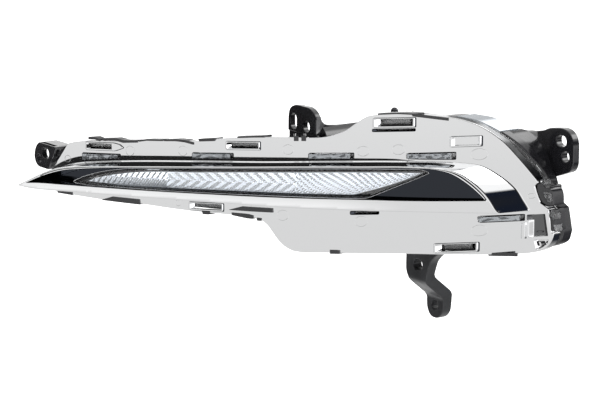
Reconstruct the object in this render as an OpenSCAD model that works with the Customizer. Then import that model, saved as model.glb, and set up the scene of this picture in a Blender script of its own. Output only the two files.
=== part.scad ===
// Front bumper indicator and daytime lamp, left side of the car.
// X runs right along the straight lip of the hood, Y runs to the rear, Z is up.
// The origin is the centre of the round hole in the top lug, on its front face.
// Everything that is moulded is drawn along the car's own driving direction,
// which lies draw_a degrees away from Y. Outlines are given as [x, z] where they
// meet the flange's front face, and pr() runs them along that direction.

/* [Flange] */
// Radius of the flange seen from above
flange_r = 800; // [780:5:820]
// Wall of the plated frame
frame_t = 2.5; // [2:0.1:2.8]
// How far the hood stands out along the driving direction
hood_d = 34; // [32:0.5:35]
// Wall of the hood's skin
hood_t = 2.2; // [2:0.1:2.4]

/* [Lens] */
// Wall of the clear cover
lens_t = 2.5; // [2.2:0.1:2.6]
// Width of the sealing bead
seal_w = 2; // [1.6:0.1:2.4]
// Thickness of the patterned inner optic
optic_t = 4; // [3:0.1:4]

/* [Housing] */
// Wall of the black housing
wall = 2.5; // [2.2:0.1:2.8]
// Place of the housing's flat rear face
rear_y = 24; // [23:0.5:25]
// Diameter of the round holes in the lugs
hole_d = 9; // [8:0.1:9.5]
// Diameter of the small round hole in the left lug
left_hole_d = 7.5; // [7:0.1:8]
// Diameter of the round hole in the bottom lug
bottom_hole_d = 8.4; // [8:0.1:9]

/* [Lights] */
// Thickness of the circuit boards
pcb_t = 1.6; // [1.2:0.1:1.6]
// Number of white light sources on each daytime board
white_n = 6; // [5:1:6]
// Number of amber light sources
amber_n = 4; // [3:1:4]

/* [Hidden] */
draw_a = 55;
y0 = -16;
cy = y0 + flange_r;
zl = -200;
zh = 320;
$fn = 96;

// Front face of the flange at x, and an [x, z] outline seen along the drawing direction
function fy(x) = cy - sqrt(flange_r*flange_r - x*x);
function pr(p) = [for (q = p) [q[0]*cos(draw_a) - fy(q[0])*sin(draw_a), q[1]]];
// Outline moved inwards by d along the normals of its neighbours, mitred
function un(v) = v / norm(v);
function area2(p) = let (n = len(p)) [for (i = [0:n-1]) p[i][0]*p[(i+1)%n][1] - p[(i+1)%n][0]*p[i][1]];
function total(v, i = 0) = i >= len(v) ? 0 : v[i] + total(v, i + 1);
function inset(p, d) = let (n = len(p), sg = total(area2(p)) > 0 ? 1 : -1)
  [for (i = [0:n-1]) let (
    a = un(p[i] - p[(i+n-1)%n]), b = un(p[(i+1)%n] - p[i]),
    na = sg*[-a[1], a[0]], nb = sg*[-b[1], b[0]],
    m = na + nb, k = 2 / max(0.5, m*m))
    p[i] + m*(d*k)];

// Flange outline
flange_p = [[-193,-15],[-188,-13.5],[-180,-12],[-166,-10.3],[-135,-10],[-117,-9.2],[-100,-9],
  [-85,-8.8],[-70,-7.4],[-55,-6],[-34,-5.6],[-14,-5.7],[8,-5.9],[16,-5.2],[24,-3],[31,-0.5],
  [36,3.4],[41,7.2],[48,10.6],[57,12.3],[75,12.6],[91,12],[107,10.6],[127,6.5],[144,-1],
  [157,-10.8],[169,-22],[179,-34],[186,-44],[187.5,-50],[188.2,-56],[190,-64],[195,-68],
  [197.5,-76],[200,-90],[201.5,-95],[198.5,-100],[194,-103.3],[188,-104.8],[178,-106],
  [146,-105.2],[116,-104],[80,-102.4],[31,-100.8],[-4,-100],[-10,-99],[-16,-96.2],[-21,-91.6],
  [-26,-85],[-31,-77.6],[-36,-73.6],[-50,-71.2],[-63,-69.4],[-84,-68],[-118,-64.2],[-134,-62.2],
  [-168,-60],[-190,-57.3],[-202.5,-55],[-206.5,-46],[-207,-36.6],[-199,-25.6]];
// Root of the hood on the flange
nose_p = [[-206,-38],[-197,-35],[-187,-32],[-172,-30],[-140,-28],[-88,-26.3],[-33,-25.2],
  [23,-24.8],[70,-25.3],[107,-26.5],[129,-28.8],[146,-33.5],[158,-41],[170,-52.2],[178,-64],
  [182,-70],[118,-65],[58,-61.5],[1,-58.3],[-57,-54.3],[-126,-51.1],[-160,-49.5],[-196,-48],[-205,-46]];
// Hollow behind the hood, and the channel inside its lower lip
nose_in_p = [[-196,-38.5],[-186,-35],[-171,-32.8],[-140,-30.8],[-88,-29],[-33,-27.9],[23,-27.4],
  [70,-27.9],[107,-29.2],[128,-31.4],[143,-36],[154,-43],[165,-54],[172,-64],[174,-67.2],
  [118,-62.4],[58,-58.9],[1,-55.7],[-57,-51.7],[-126,-48.4],[-160,-46.9],[-192,-45.8]];
lip_in_p = [[-100,-48.9],[-88,-49.2],[-33,-51.3],[23,-53.8],[72,-55.7],[102,-57.2],[160,-59.8],[170,-60.5],
  [174,-67],[118,-62.2],[58,-58.6],[1,-55.4],[-57,-51.6],[-100,-49.6]];
// Mouth of the hood
mouth_p = [[-196,-41.5],[-190,-38.8],[-177,-34.5],[-167,-32.6],[-152,-31],[-88,-29],[23,-27.8],
  [129,-31.5],[144,-36],[154,-43],[165,-53],[168,-57.3],[102,-54.8],[72,-53.2],[23,-51.4],
  [-33,-48.9],[-88,-46.9],[-157,-44.2],[-190,-43.2]];
// Lens face inside the mouth
lens_p = [[-176,-41.8],[-170,-39.5],[-156,-36.3],[-146,-34.8],[-137,-33.6],[-73,-31.5],[6,-30.7],
  [106,-33],[110,-35],[102,-39],[87,-44.6],[71,-50.5],[64,-51.8],[46,-50.6],[6,-49.2],[-50,-46.8],
  [-106,-44.8],[-144,-43.2],[-170,-42.6]];
// Hollow behind the lens face
lens_in_p = [[-160,-39.6],[-146,-37],[-137,-35.8],[-73,-33.6],[6,-32.8],[98,-35.2],[87,-41.6],[71,-47.6],
  [62,-49.4],[46,-48.4],[6,-47.1],[-50,-44.8],[-106,-42.8],[-144,-41.3]];
// Body of the housing behind its rim
body_p = [[-190,-17],[-60,-17],[25,-17],[36,-10],[48,2],[58,5],[92,5],[107,1],[118,-5],[143,-7],
  [154,-14],[167,-30],[177,-46],[182,-60],[186,-75],[188,-90],[185,-97],[175,-100],[100,-98],
  [0,-94],[-10,-90],[-18,-80],[-24,-70],[-34,-67],[-62,-63],[-118,-58],[-170,-54],[-196,-51],
  [-199,-42],[-195,-25]];
// Snap tabs of the lens: x from, x to, z from, z to
tabs = [[-180,-150,-27,-22],[-90,-59,-24.4,-19.6],[3,37.5,-23.6,-18.8],[82,118,-24.4,-19.4],[141,179,-79,-72]];
// Clip pockets of the frame
pockets = [[-179,-150,-18.6,-13.6],[-65,-37,-15.6,-9.8],[53,87,1.6,9.2],[115,141,-15.2,-6.8],
  [-95,-67,-66,-60.4],[103,139,-101.6,-94.2]];
// Small window in the lower corner
window_r = [179.5,196,-91,-73];

// Space between two faces that lie o0 and o1 behind the flange's front face
module band(o0, o1) difference() {
  translate([0, cy, zl]) cylinder(r = flange_r - o0, h = zh, $fn = 360);
  translate([0, cy, zl - 1]) cylinder(r = flange_r - o1, h = zh + 2, $fn = 360);
}
// Space behind the face at o0, back to the plane y
module behind(o0, y) intersection() {
  translate([0, cy, zl]) cylinder(r = flange_r - o0, h = zh, $fn = 360);
  translate([-300, y - 200, zl]) cube([620, 200, zh]);
}
// Space between the flange and the same face moved d along the driving direction
module forward(d, o) difference() {
  translate([-d*sin(draw_a), cy - d*cos(draw_a), zl]) cylinder(r = flange_r, h = zh, $fn = 360);
  translate([0, cy, zl - 1]) cylinder(r = flange_r - o, h = zh + 2, $fn = 360);
}
// Outline run along the driving direction, t0 to t1 from the origin
module run(p, t0 = -300, t1 = 300) rotate([0, 0, -draw_a]) translate([0, t1, 0]) rotate([90, 0, 0])
  linear_extrude(t1 - t0) polygon(p);
function rect(r, g = 0) = pr([[r[0]-g, r[2]-g], [r[1]+g, r[2]-g], [r[1]+g, r[3]+g], [r[0]-g, r[3]+g]]);
// Outline in t and z, run across the driving direction from s0 to s1
module cross(p, s0, s1) rotate([0, 0, -draw_a]) translate([s0, 0, 0]) rotate([90, 0, 90])
  linear_extrude(s1 - s0) polygon(p);
// Block and round bar in the drawing frame: across, along, up
module blk(a, b) rotate([0, 0, -draw_a]) translate(a) cube(b - a);
module bar(s, z, t0, t1, d) rotate([0, 0, -draw_a]) translate([s, t1, z]) rotate([90, 0, 0])
  cylinder(d = d, h = t1 - t0, $fn = 64);
// Place on the curved inside: angle a round the flange's axis, r from it
module on(a, r) translate([0, cy, 0]) rotate([0, 0, a]) translate([0, -r, 0]) children();
// Round bar along Y, from the point forwards to the rear
module ybar(x, z, ya, yb, d) translate([x, yb, z]) rotate([90, 0, 0]) cylinder(d = d, h = yb - ya, $fn = 64);

module chrome_frame() color("gainsboro") {
  difference() {
    union() {
      intersection() { band(0, frame_t); run(pr(flange_p)); }
      intersection() { forward(hood_d, 1); run(pr(nose_p)); }
      for (q = pockets) intersection() { band(-1.8, 1); run(rect(q)); }
    }
    intersection() { forward(hood_d + 5, -8); run(pr(mouth_p)); }
    intersection() { band(-8 + hood_t, frame_t + 2); run(pr(nose_in_p)); }
    intersection() { forward(hood_d - hood_t, 2); run(pr(lip_in_p)); }
    intersection() { forward(hood_d + 5, frame_t + 2); run(inset(pr(lens_p), -0.4)); }
    for (q = pockets) intersection() { band(-4, frame_t + 2); run(inset(rect(q), 1.4)); }
    for (q = tabs) intersection() { band(-8, frame_t + 2); run(rect(q, 0.3)); }
    intersection() { band(-4, frame_t + 2); run(rect(window_r)); }
  }
}

module outer_lens() color("white", 0.4) {
  difference() {
    union() {
      intersection() { band(frame_t + 0.5, frame_t + 0.5 + lens_t); run(inset(pr(flange_p), 2)); }
      intersection() { forward(12, frame_t + 0.6); run(pr(lens_p)); }
      for (q = tabs) intersection() { band(-1.2, frame_t + 1); run(rect(q)); }
    }
    intersection() { forward(9.5, frame_t + 6); run(pr(lens_in_p)); }
  }
}

module lens_seal() color("dimgray") difference() {
  intersection() { band(frame_t + 0.5 + lens_t, 6.5); run(inset(pr(flange_p), 2.4)); }
  run(inset(pr(flange_p), 2.4 + seal_w), -320, 320);
}

module rim() difference() {
  intersection() { band(6.5, 9.5); run(inset(pr(flange_p), 2)); }
  run(inset(pr(flange_p), 2 + wall), -320, 320);
}
// Hook that comes over the frame's edge, up = 1 on top, -1 below
module hook(x0, x1, z, up, th = 1.5) {
  z1 = z + up*0.3;
  z2 = z1 + up*th;
  intersection() { band(-1.9, 9.4); translate([x0, -40, min(z1, z2)]) cube([x1 - x0, 80, th]); }
  intersection() { band(-1.9, -0.5); translate([x0, -40, min(z - up*3, z2)]) cube([x1 - x0, 80, 3.3 + th]); }
  intersection() { band(6.9, 9.4); translate([x0, -40, min(z - up*6, z2)]) cube([x1 - x0, 80, 6.3 + th]); }
}

module left_lug() difference() {
  union() {
    run([[-147,-17.5],[-118.5,-17.5],[-132,-38],[-148,-38],[-152.5,-35.5],[-155,-30],[-152.5,-22]], -163.7, -158.7);
    run([[-118.5,-17.5],[-132,-38],[-135,-38],[-121.5,-17.5]], -163.7, -136);
    run([[-147,-20.3],[-121,-20.3],[-120,-17.5],[-147,-17.5]], -163.7, -147);
    intersection() { behind(7.5, 60); run([[-122,-17.5],[-113,-18.5],[-116,-37],[-134,-37]], -144, -136); }
  }
  bar(-147, -31, -170, -150, left_hole_d);
  for (k = [-1.6, 1.6]) bar(-136 + k, -25.2, -170, -150, 8.4);
  blk([-137.6, -170, -29.4], [-134.4, -150, -21]);
}

module top_lug() difference() {
  union() {
    run([[-25.7,-4.3],[13.5,-4.3],[13.5,6],[12,11],[8,14.5],[3,16],[-10,16],[-18,14],[-23,10],[-25.5,4]], 0, 5);
    intersection() { behind(7.5, 60); run([[-25.7,-18.5],[13.5,-18.5],[13.5,-4],[-25.7,-4]], 0, 5); }
    cross([[0,-4.3],[46,-4.3],[46,-1],[13,2],[8.5,3.2],[6,6],[5,10],[0,10]], 9.5, 13.5);
    intersection() { behind(7.5, 60); cross([[0,-18.5],[46,-18.5],[46,-4],[0,-4]], 9.5, 13.5); }
  }
  bar(0, 0, -10, 20, hole_d);
  for (k = [-2.2, 2.2]) bar(-17.9, 2 + k, -10, 20, 8.4);
  blk([-22.1, -10, -0.2], [-13.7, 20, 4.2]);
}

module right_lug() difference() {
  union() {
    run([[84,-9],[90,-5],[106,-3.8],[114,-5],[119,-9],[121.3,-15],[121.3,-33],[118,-38.5],[100.4,-45],[93,-45]], 178.3, 185);
    intersection() { behind(8, 60); run([[82,-10],[86,-9],[94,-25],[100.4,-43],[95,-45],[88,-30]], 150, 185); }
  }
  bar(111.5, -26.9, 170, 200, hole_d);
  for (k = [-1.8, 1.8]) bar(106 + k, -14.6, 170, 200, 9);
  blk([104.2, 170, -19.1], [107.8, 200, -10.1]);
}

module bottom_lug() difference() {
  intersection() {
    union() {
      cross([[82,-94],[91,-94],[91,-127],[111,-141],[111,-167],[102,-167],[102,-146],[82,-132]], 20, 70);
    }
    run([[26,-90],[60,-90],[60,-104],[63,-107],[57,-118],[53.2,-126],[52,-146],[50,-160],[45,-165.5],
      [33,-165.5],[29,-160],[28.5,-146],[30,-129],[25.6,-123],[26.5,-108]], 70, 120);
  }
  bar(39.6, -154.4, 90, 130, bottom_hole_d);
  for (k = [-1.4, 1.4]) bar(42.2 + k, -117, 70, 100, 9);
  blk([40.8, 70, -121.5], [43.6, 100, -112.5]);
  translate([40, rear_y + 4.5, -101]) cube([80, 30, 20]);
}

module rear_housing() color([0.09, 0.09, 0.1]) {
  difference() {
    union() {
      rim();
      intersection() { band(8, 9.5); run(inset(pr(flange_p), 2)); }
      intersection() { behind(8, rear_y); run(pr(body_p)); }
      translate([58, rear_y - 2, -99]) cube([116, 7, 44]);
      hook(-10, -6, -5.5, 1, 0.9);
      hook(-4, 0, -5.5, 1, 0.9);
      hook(94, 114, 12.2, 1);
      hook(148, 172, -106.2, -1);
      // loop for the clip on the right wall
      run([[101.4,-50.5],[106.5,-50.5],[106.5,-63],[101.4,-63]], 168, 180);
      run([[98.5,-50.5],[102,-50.5],[102,-63],[98.5,-63]], 171.5, 180);
      // vent neck, and the boss under the peg
      ybar(-20, -40, rear_y - 1, rear_y + 5, 12);
      translate([71, 3, 3]) cylinder(d = 8, h = 7, $fn = 48);
      left_lug();
      top_lug();
      right_lug();
      bottom_lug();
    }
    difference() {
      intersection() { behind(7, rear_y - wall); run(inset(pr(body_p), wall)); }
      for (p = posts) ybar(p[0], p[1], p[2], rear_y, 7);
      translate([71, 3, 1]) cylinder(d = 8, h = 6, $fn = 48);
    }
    translate([64, rear_y - 10, -93]) cube([104, 30, 32]);
    run([[102.9,-53.5],[105,-53.5],[105,-60],[102.9,-60]], 160, 178);
    ybar(-20, -40, 10, rear_y + 10, 6);
    for (p = posts) ybar(p[0], p[1], 0, rear_y - 2, 2.6);
    for (c = cover_c) ybar(c[0], c[1], rear_y - 3, rear_y + 8, 2.6);
    translate([71, 3, 2.4]) cylinder(d = 3, h = 12, $fn = 48);
  }
}

// Boards: place round the flange's axis, width, from z, to z
boards = [[-8.75, 54, -50, -31], [-2.6, 104, -53, -28], [5.4, 104, -53, -28]];
board_r = flange_r - 17;
pad_r = board_r - pcb_t;
sink_r = pad_r - 1;
module board(b, holes) on(b[0], board_r) difference() {
  translate([-b[1]/2, 0, b[2]]) cube([b[1], pcb_t, b[3] - b[2]]);
  for (h = holes) translate([h[0], pcb_t + 1, h[1]]) rotate([90, 0, 0]) cylinder(d = 3.2, h = pcb_t + 2, $fn = 48);
}
function holes(i) = i == 0 ? [[-24.5, -47.6], [24.5, -33.4]] : [[-49, -50], [49, -31], [-49, -31], [49, -50]];
module indicator_board() color("darkgreen") board(boards[0], holes(0));
module inner_daytime_board() color("darkgreen") board(boards[1], holes(1));
module outer_daytime_board() color("darkgreen") board(boards[2], holes(2));

// One light source: base, with a dome on it
module led(w) { translate([-w/2, -0.8, -w/2]) cube([w, 0.8, w]); translate([0, -0.7, 0]) rotate([90, 0, 0]) cylinder(d = w - 0.6, h = 0.7, $fn = 48); }
function spread(n, w) = [for (i = [0:n-1]) (i - (n-1)/2)*w/n];
amber_z = -40.5;
white_z = -40.5;
module amber_leds() color("orange") for (x = spread(amber_n, 48)) on(boards[0][0], board_r) translate([x, 0, amber_z]) led(3);
module white_leds() color("lightyellow") for (i = [1, 2]) for (x = spread(white_n, 100)) on(boards[i][0], board_r) translate([x, 0, white_z]) led(3);

// Screw: head towards the viewer at y = 0, shank to the rear
module screw(hd, hh, d, l) { rotate([90, 0, 0]) cylinder(d = hd, h = hh, $fn = 48); translate([0, l, 0]) rotate([90, 0, 0]) cylinder(d = d, h = l + 0.5, $fn = 48); }
module board_screws() color("silver") for (i = [0:2]) for (h = holes(i))
  on(boards[i][0], board_r) translate([h[0], 0, h[1]]) screw(5, 1.6, 2.5, 7);

module thermal_pads() color("lightblue") for (i = [0:2]) on(boards[i][0], pad_r) difference() {
  translate([-boards[i][1]/2 + 2, 0, boards[i][2] + 1]) cube([boards[i][1] - 4, 1, boards[i][3] - boards[i][2] - 2]);
  for (h = holes(i)) translate([h[0], 2, h[1]]) rotate([90, 0, 0]) cylinder(d = 7, h = 3, $fn = 48);
}

// Bent aluminium plate behind the boards, with fins where the housing is deep
module heat_sink() color("silver") difference() {
  union() {
    on(boards[0][0], sink_r) translate([-28, 0, -50.5]) cube([59, 2, 22]);
    on(boards[1][0], sink_r) translate([-56, 0, -55]) cube([111, 2, 29]);
    on(boards[2][0], sink_r) translate([-56, 0, -55]) cube([111, 2, 29]);
    for (x = [-48:8:48]) on(boards[1][0], sink_r) translate([x, 1.5, -52]) cube([1.6, 6.5, 22]);
    for (x = [-48:8:32]) on(boards[2][0], sink_r) translate([x, 1.5, -52]) cube([1.6, 5.5, 22]);
    on(boards[1][0], sink_r) for (z = [-59.6, -28]) translate([0, 0, z]) cube([10, 2, 8]);
    on(boards[2][0], sink_r) for (z = [-59.6, -28]) translate([-8, 0, z]) cube([10, 2, 8]);
  }
  for (i = [0:2]) for (h = holes(i)) on(boards[i][0], sink_r) translate([h[0], 5, h[1]]) rotate([90, 0, 0]) cylinder(d = 2.6, h = 10, $fn = 48);
  for (p = posts) ybar(p[0], p[1], -20, 20, 3.2);
}
// Posts of the housing that carry the heat sink: x, z, front end
posts = [[-30.5, -56, 6.5], [-30.5, -24, 6.5], [70.4, -56, 9.2], [70.4, -24, 9.2]];
module heat_sink_screws() color("silver") for (p = posts) translate([p[0], p[2] - 2.8, p[1]]) screw(5, 2, 2.5, 11);

// Silvered tray with a cup in front of each light source
module cup(i, x, z, r) on(boards[i][0], board_r + 1.4) translate([x, 0, z]) rotate([90, 0, 0]) cylinder(r1 = 2.6, r2 = r, h = 8, $fn = 48);
tray_p = [[-150,-46.5],[-150,-34.5],[-120,-32],[-73,-30],[6,-29],[118,-30],[122,-34],[118,-50],[60,-52],[6,-51],[-60,-49]];
module reflector() color("white") difference() {
  intersection() { band(8.6, 14.4); translate([0, 60, 0]) rotate([90, 0, 0]) linear_extrude(120) polygon(tray_p); }
  for (x = spread(amber_n, 48)) cup(0, x, amber_z, 5.4);
  for (i = [1, 2]) for (x = spread(white_n, 100)) cup(i, x, white_z, 7.8);
  for (i = [0:2]) for (h = holes(i)) on(boards[i][0], board_r) translate([h[0], 0, h[1]]) rotate([90, 0, 0]) cylinder(d = 6, h = 3.6, $fn = 48);
}

// Clear optic with a moulded pattern, a cap that stands in the lens
optic_p = [[-156,-39.6],[-146,-37.7],[-137,-36.5],[-73,-34.3],[6,-33.5],[95,-35.9],[86,-41.4],[70.5,-47],
  [61,-48.6],[46,-47.6],[6,-46.3],[-50,-44],[-106,-42],[-143,-40.6]];
optic_in_p = [[-140,-39.2],[-136,-38.7],[-73,-36.6],[6,-35.8],[86,-37.9],[82,-40.4],[68,-45.2],[60,-46.3],
  [46,-45.3],[6,-44],[-50,-41.7],[-106,-40.2]];
optic_rim_p = [[-166,-42],[-160,-37.5],[-146,-34.4],[-73,-31.4],[6,-30.4],[104,-32.6],[96,-44],[74,-51.4],
  [46,-50.6],[6,-49],[-50,-47],[-106,-45.2],[-150,-43.4]];
module inner_optic() color("white", 0.5) difference() {
  union() {
    intersection() { forward(7.5, 7.5); run(pr(optic_p)); }
    intersection() { band(6.3, 8.2); run(pr(optic_rim_p)); }
  }
  intersection() { forward(7.5 - optic_t, 9); run(pr(optic_in_p)); }
}

// Ribbons that join the boards: a point of board i, u across and h in front of it
function bp(i, u, h) = let (a = boards[i][0]) [u*cos(a) + (board_r + h)*sin(a), cy + u*sin(a) - (board_r + h)*cos(a)];
module board_leads() color("khaki") {
  for (i = [0, 1]) translate([0, 0, -44]) linear_extrude(7) let (u = boards[i][1]/2, v = boards[i+1][1]/2)
    polygon([bp(i, u-6, 0), bp(i, u, 0), bp(i+1, -v, 0), bp(i+1, 6-v, 0), bp(i+1, 6-v, 0.4), bp(i+1, -v-0.4, 0.4), bp(i, u, 0.4), bp(i, u-6, 0.4)]);
  translate([0, 0, -66.4]) linear_extrude(17.4) polygon([bp(2, 38, 0), bp(2, 46, 0), bp(2, 46, 0.4), bp(2, 38, 0.4)]);
  translate([0, 0, -66.4]) linear_extrude(0.4) polygon([bp(2, 38, 0.4), bp(2, 46, 0.4), [119.5, 16.2], [111.5, 16.2]]);
}

// Driver board, held on the inside of the cover
cover_c = [[61, -96], [61, -58], [171, -96], [171, -58]];
driver_c = [[72, -88], [72, -66], [160, -88], [160, -66]];
module driver_board() color("darkgreen") difference() {
  translate([67, 19, -91]) cube([98, pcb_t, 28]);
  for (c = driver_c) ybar(c[0], c[1], 18, 22, 3.2);
  for (x = [132:4:144]) ybar(x, -77, 18, 22, 1.3);
}
module driver_parts() color("dimgray") {
  ybar(84, -77, 9, 19, 13);
  ybar(98, -70, 10, 19, 8);
  ybar(98, -84, 10, 19, 8);
  translate([103.5, 16.6, -79]) cube([9, 2.4, 9]);
  translate([106, 17.4, -88]) cube([14, 1.6, 7]);
  translate([117, 14.5, -79]) cube([6, 4.5, 6]);
  translate([109, 16.2, -69]) cube([14, 2.8, 5]);
  translate([129, 15.5, -80]) cube([18, 3.5, 6]);
}
module driver_screws() color("silver") for (c = driver_c) translate([c[0], 19, c[1]]) screw(5, 1.6, 2.5, 8);
module connector_pins() color("goldenrod") for (x = [132:4:144]) ybar(x, -77, 19.4, 44, 1.2);
module rear_cover() color([0.1, 0.1, 0.11]) difference() {
  union() {
    translate([58, rear_y + 5.8, -99]) cube([116, 2.5, 44]);
    for (c = driver_c) ybar(c[0], c[1], 19 + pcb_t, rear_y + 7, 6.4);
    translate([123, rear_y + 7, -86]) cube([30, 17, 18]);
    translate([134, rear_y + 10, -68.5]) cube([8, 8, 2.5]);
  }
  translate([125, rear_y + 10, -84]) cube([26, 20, 14]);
  for (x = [132:4:144]) ybar(x, -77, 20, 60, 1.3);
  for (c = driver_c) ybar(c[0], c[1], 18, rear_y + 6.6, 2.6);
  for (c = cover_c) ybar(c[0], c[1], rear_y, rear_y + 12, 3.4);
}
module cover_seal() color("black") difference() {
  translate([62.6, rear_y + 5, -94.4]) cube([106.8, 0.8, 34.8]);
  translate([64, rear_y + 4, -93]) cube([104, 3, 32]);
}
module cover_screws() color("silver") for (c = cover_c) translate([c[0], rear_y + 8.3, c[1]]) rotate([0, 0, 180]) screw(6, 2, 2.5, 9);
module vent_cap() color("black") difference() {
  ybar(-20, -40, rear_y + 1, rear_y + 8, 18);
  ybar(-20, -40, rear_y, rear_y + 5.6, 12.1);
  ybar(-20, -46, rear_y, rear_y + 6.2, 2.4);
}
module vent_membrane() color("white") ybar(-20, -40, rear_y + 5, rear_y + 5.3, 10);
module peg_screw() color("dimgray") {
  translate([71, 3, 3.5]) cylinder(d = 2.9, h = 7, $fn = 48);
  translate([71, 3, 10]) cylinder(d = 6.4, h = 2.2, $fn = 48);
  translate([71, 3, 12.2]) intersection() { sphere(d = 6.2, $fn = 48); translate([-4, -4, 0]) cube(8); }
}

chrome_frame();
outer_lens();
lens_seal();
inner_optic();
reflector();
amber_leds();
white_leds();
indicator_board();
inner_daytime_board();
outer_daytime_board();
board_screws();
thermal_pads();
heat_sink();
heat_sink_screws();
board_leads();
driver_board();
driver_parts();
driver_screws();
connector_pins();
rear_housing();
rear_cover();
cover_seal();
cover_screws();
vent_cap();
vent_membrane();
peg_screw();
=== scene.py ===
import math
import bpy
import bmesh
import numpy as np
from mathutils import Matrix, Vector, geometry


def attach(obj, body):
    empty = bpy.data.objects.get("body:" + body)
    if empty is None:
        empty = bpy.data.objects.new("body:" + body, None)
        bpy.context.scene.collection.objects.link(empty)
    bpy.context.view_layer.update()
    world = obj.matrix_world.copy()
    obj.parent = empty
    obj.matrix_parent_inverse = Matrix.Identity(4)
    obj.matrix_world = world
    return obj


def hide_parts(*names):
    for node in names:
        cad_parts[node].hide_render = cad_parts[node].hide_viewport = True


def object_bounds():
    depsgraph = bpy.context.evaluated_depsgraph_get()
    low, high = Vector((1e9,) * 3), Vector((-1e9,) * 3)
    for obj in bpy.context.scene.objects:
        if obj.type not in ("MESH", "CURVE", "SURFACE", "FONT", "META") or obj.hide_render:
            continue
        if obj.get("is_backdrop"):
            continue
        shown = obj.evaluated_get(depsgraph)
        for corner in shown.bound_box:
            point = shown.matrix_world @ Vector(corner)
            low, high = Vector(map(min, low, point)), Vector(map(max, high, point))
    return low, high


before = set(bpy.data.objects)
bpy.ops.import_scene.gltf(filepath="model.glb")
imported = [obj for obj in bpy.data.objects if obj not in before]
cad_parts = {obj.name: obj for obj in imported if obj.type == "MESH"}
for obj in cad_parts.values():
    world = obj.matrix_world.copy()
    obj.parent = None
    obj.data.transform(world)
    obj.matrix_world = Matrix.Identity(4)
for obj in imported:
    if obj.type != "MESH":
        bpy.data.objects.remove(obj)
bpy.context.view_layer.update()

# ---------------------------------------------------------------- drawing frame
# Everything moulded is drawn along the driving direction. s runs across it, t along
# it to the rear, z up, all in millimetres. The flange's front is a cylinder of radius R.
A = math.radians(55.0)
CA, SA = math.cos(A), math.sin(A)
R, CY = 800.0, 784.0
SC, TC = -CY * SA, CY * CA


def fy(x):
    return CY - np.sqrt(R * R - np.asarray(x, float) ** 2)


def pr(p):
    p = np.asarray(p, float)
    return np.column_stack([p[:, 0] * CA - fy(p[:, 0]) * SA, p[:, 1]])


class Radial:
    """Surface o behind the flange's front, moved d forward along the driving direction."""

    def __init__(self, o=0.0, d=0.0, tilt=0.0, z0=0.0, crown=None):
        self.o, self.d, self.tilt, self.z0, self.crown = o, d, tilt, z0, crown

    def t(self, s, z):
        t = TC - np.sqrt((R - self.o) ** 2 - (s - SC) ** 2) - self.d
        if self.tilt:
            t = t + self.tilt * (z - self.z0)
        return t

    def n(self, s, z):
        t = TC - np.sqrt((R - self.o) ** 2 - (s - SC) ** 2)
        n = np.column_stack([s - SC, t - TC, 0 * s]) / (R - self.o)
        if self.tilt:
            n = n + np.column_stack([0 * s, 0 * s, 0 * s + self.tilt * -n[:, 1]])
        return unit(n)


class PlaneY:
    def __init__(self, y):
        self.y = y

    def t(self, s, z):
        return (self.y + s * SA) / CA

    def n(self, s, z):
        return np.tile([SA, -CA, 0.0], (len(s), 1))


class PlaneT:
    def __init__(self, t0, ks=0.0, kz=0.0):
        self.t0, self.ks, self.kz = t0, ks, kz

    def t(self, s, z):
        return self.t0 + self.ks * s + self.kz * z

    def n(self, s, z):
        return unit(np.tile([self.ks, -1.0, self.kz], (len(s), 1)))


def unit(v):
    v = np.asarray(v, float)
    return v / np.maximum(np.linalg.norm(v, axis=-1, keepdims=True), 1e-9)


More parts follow.
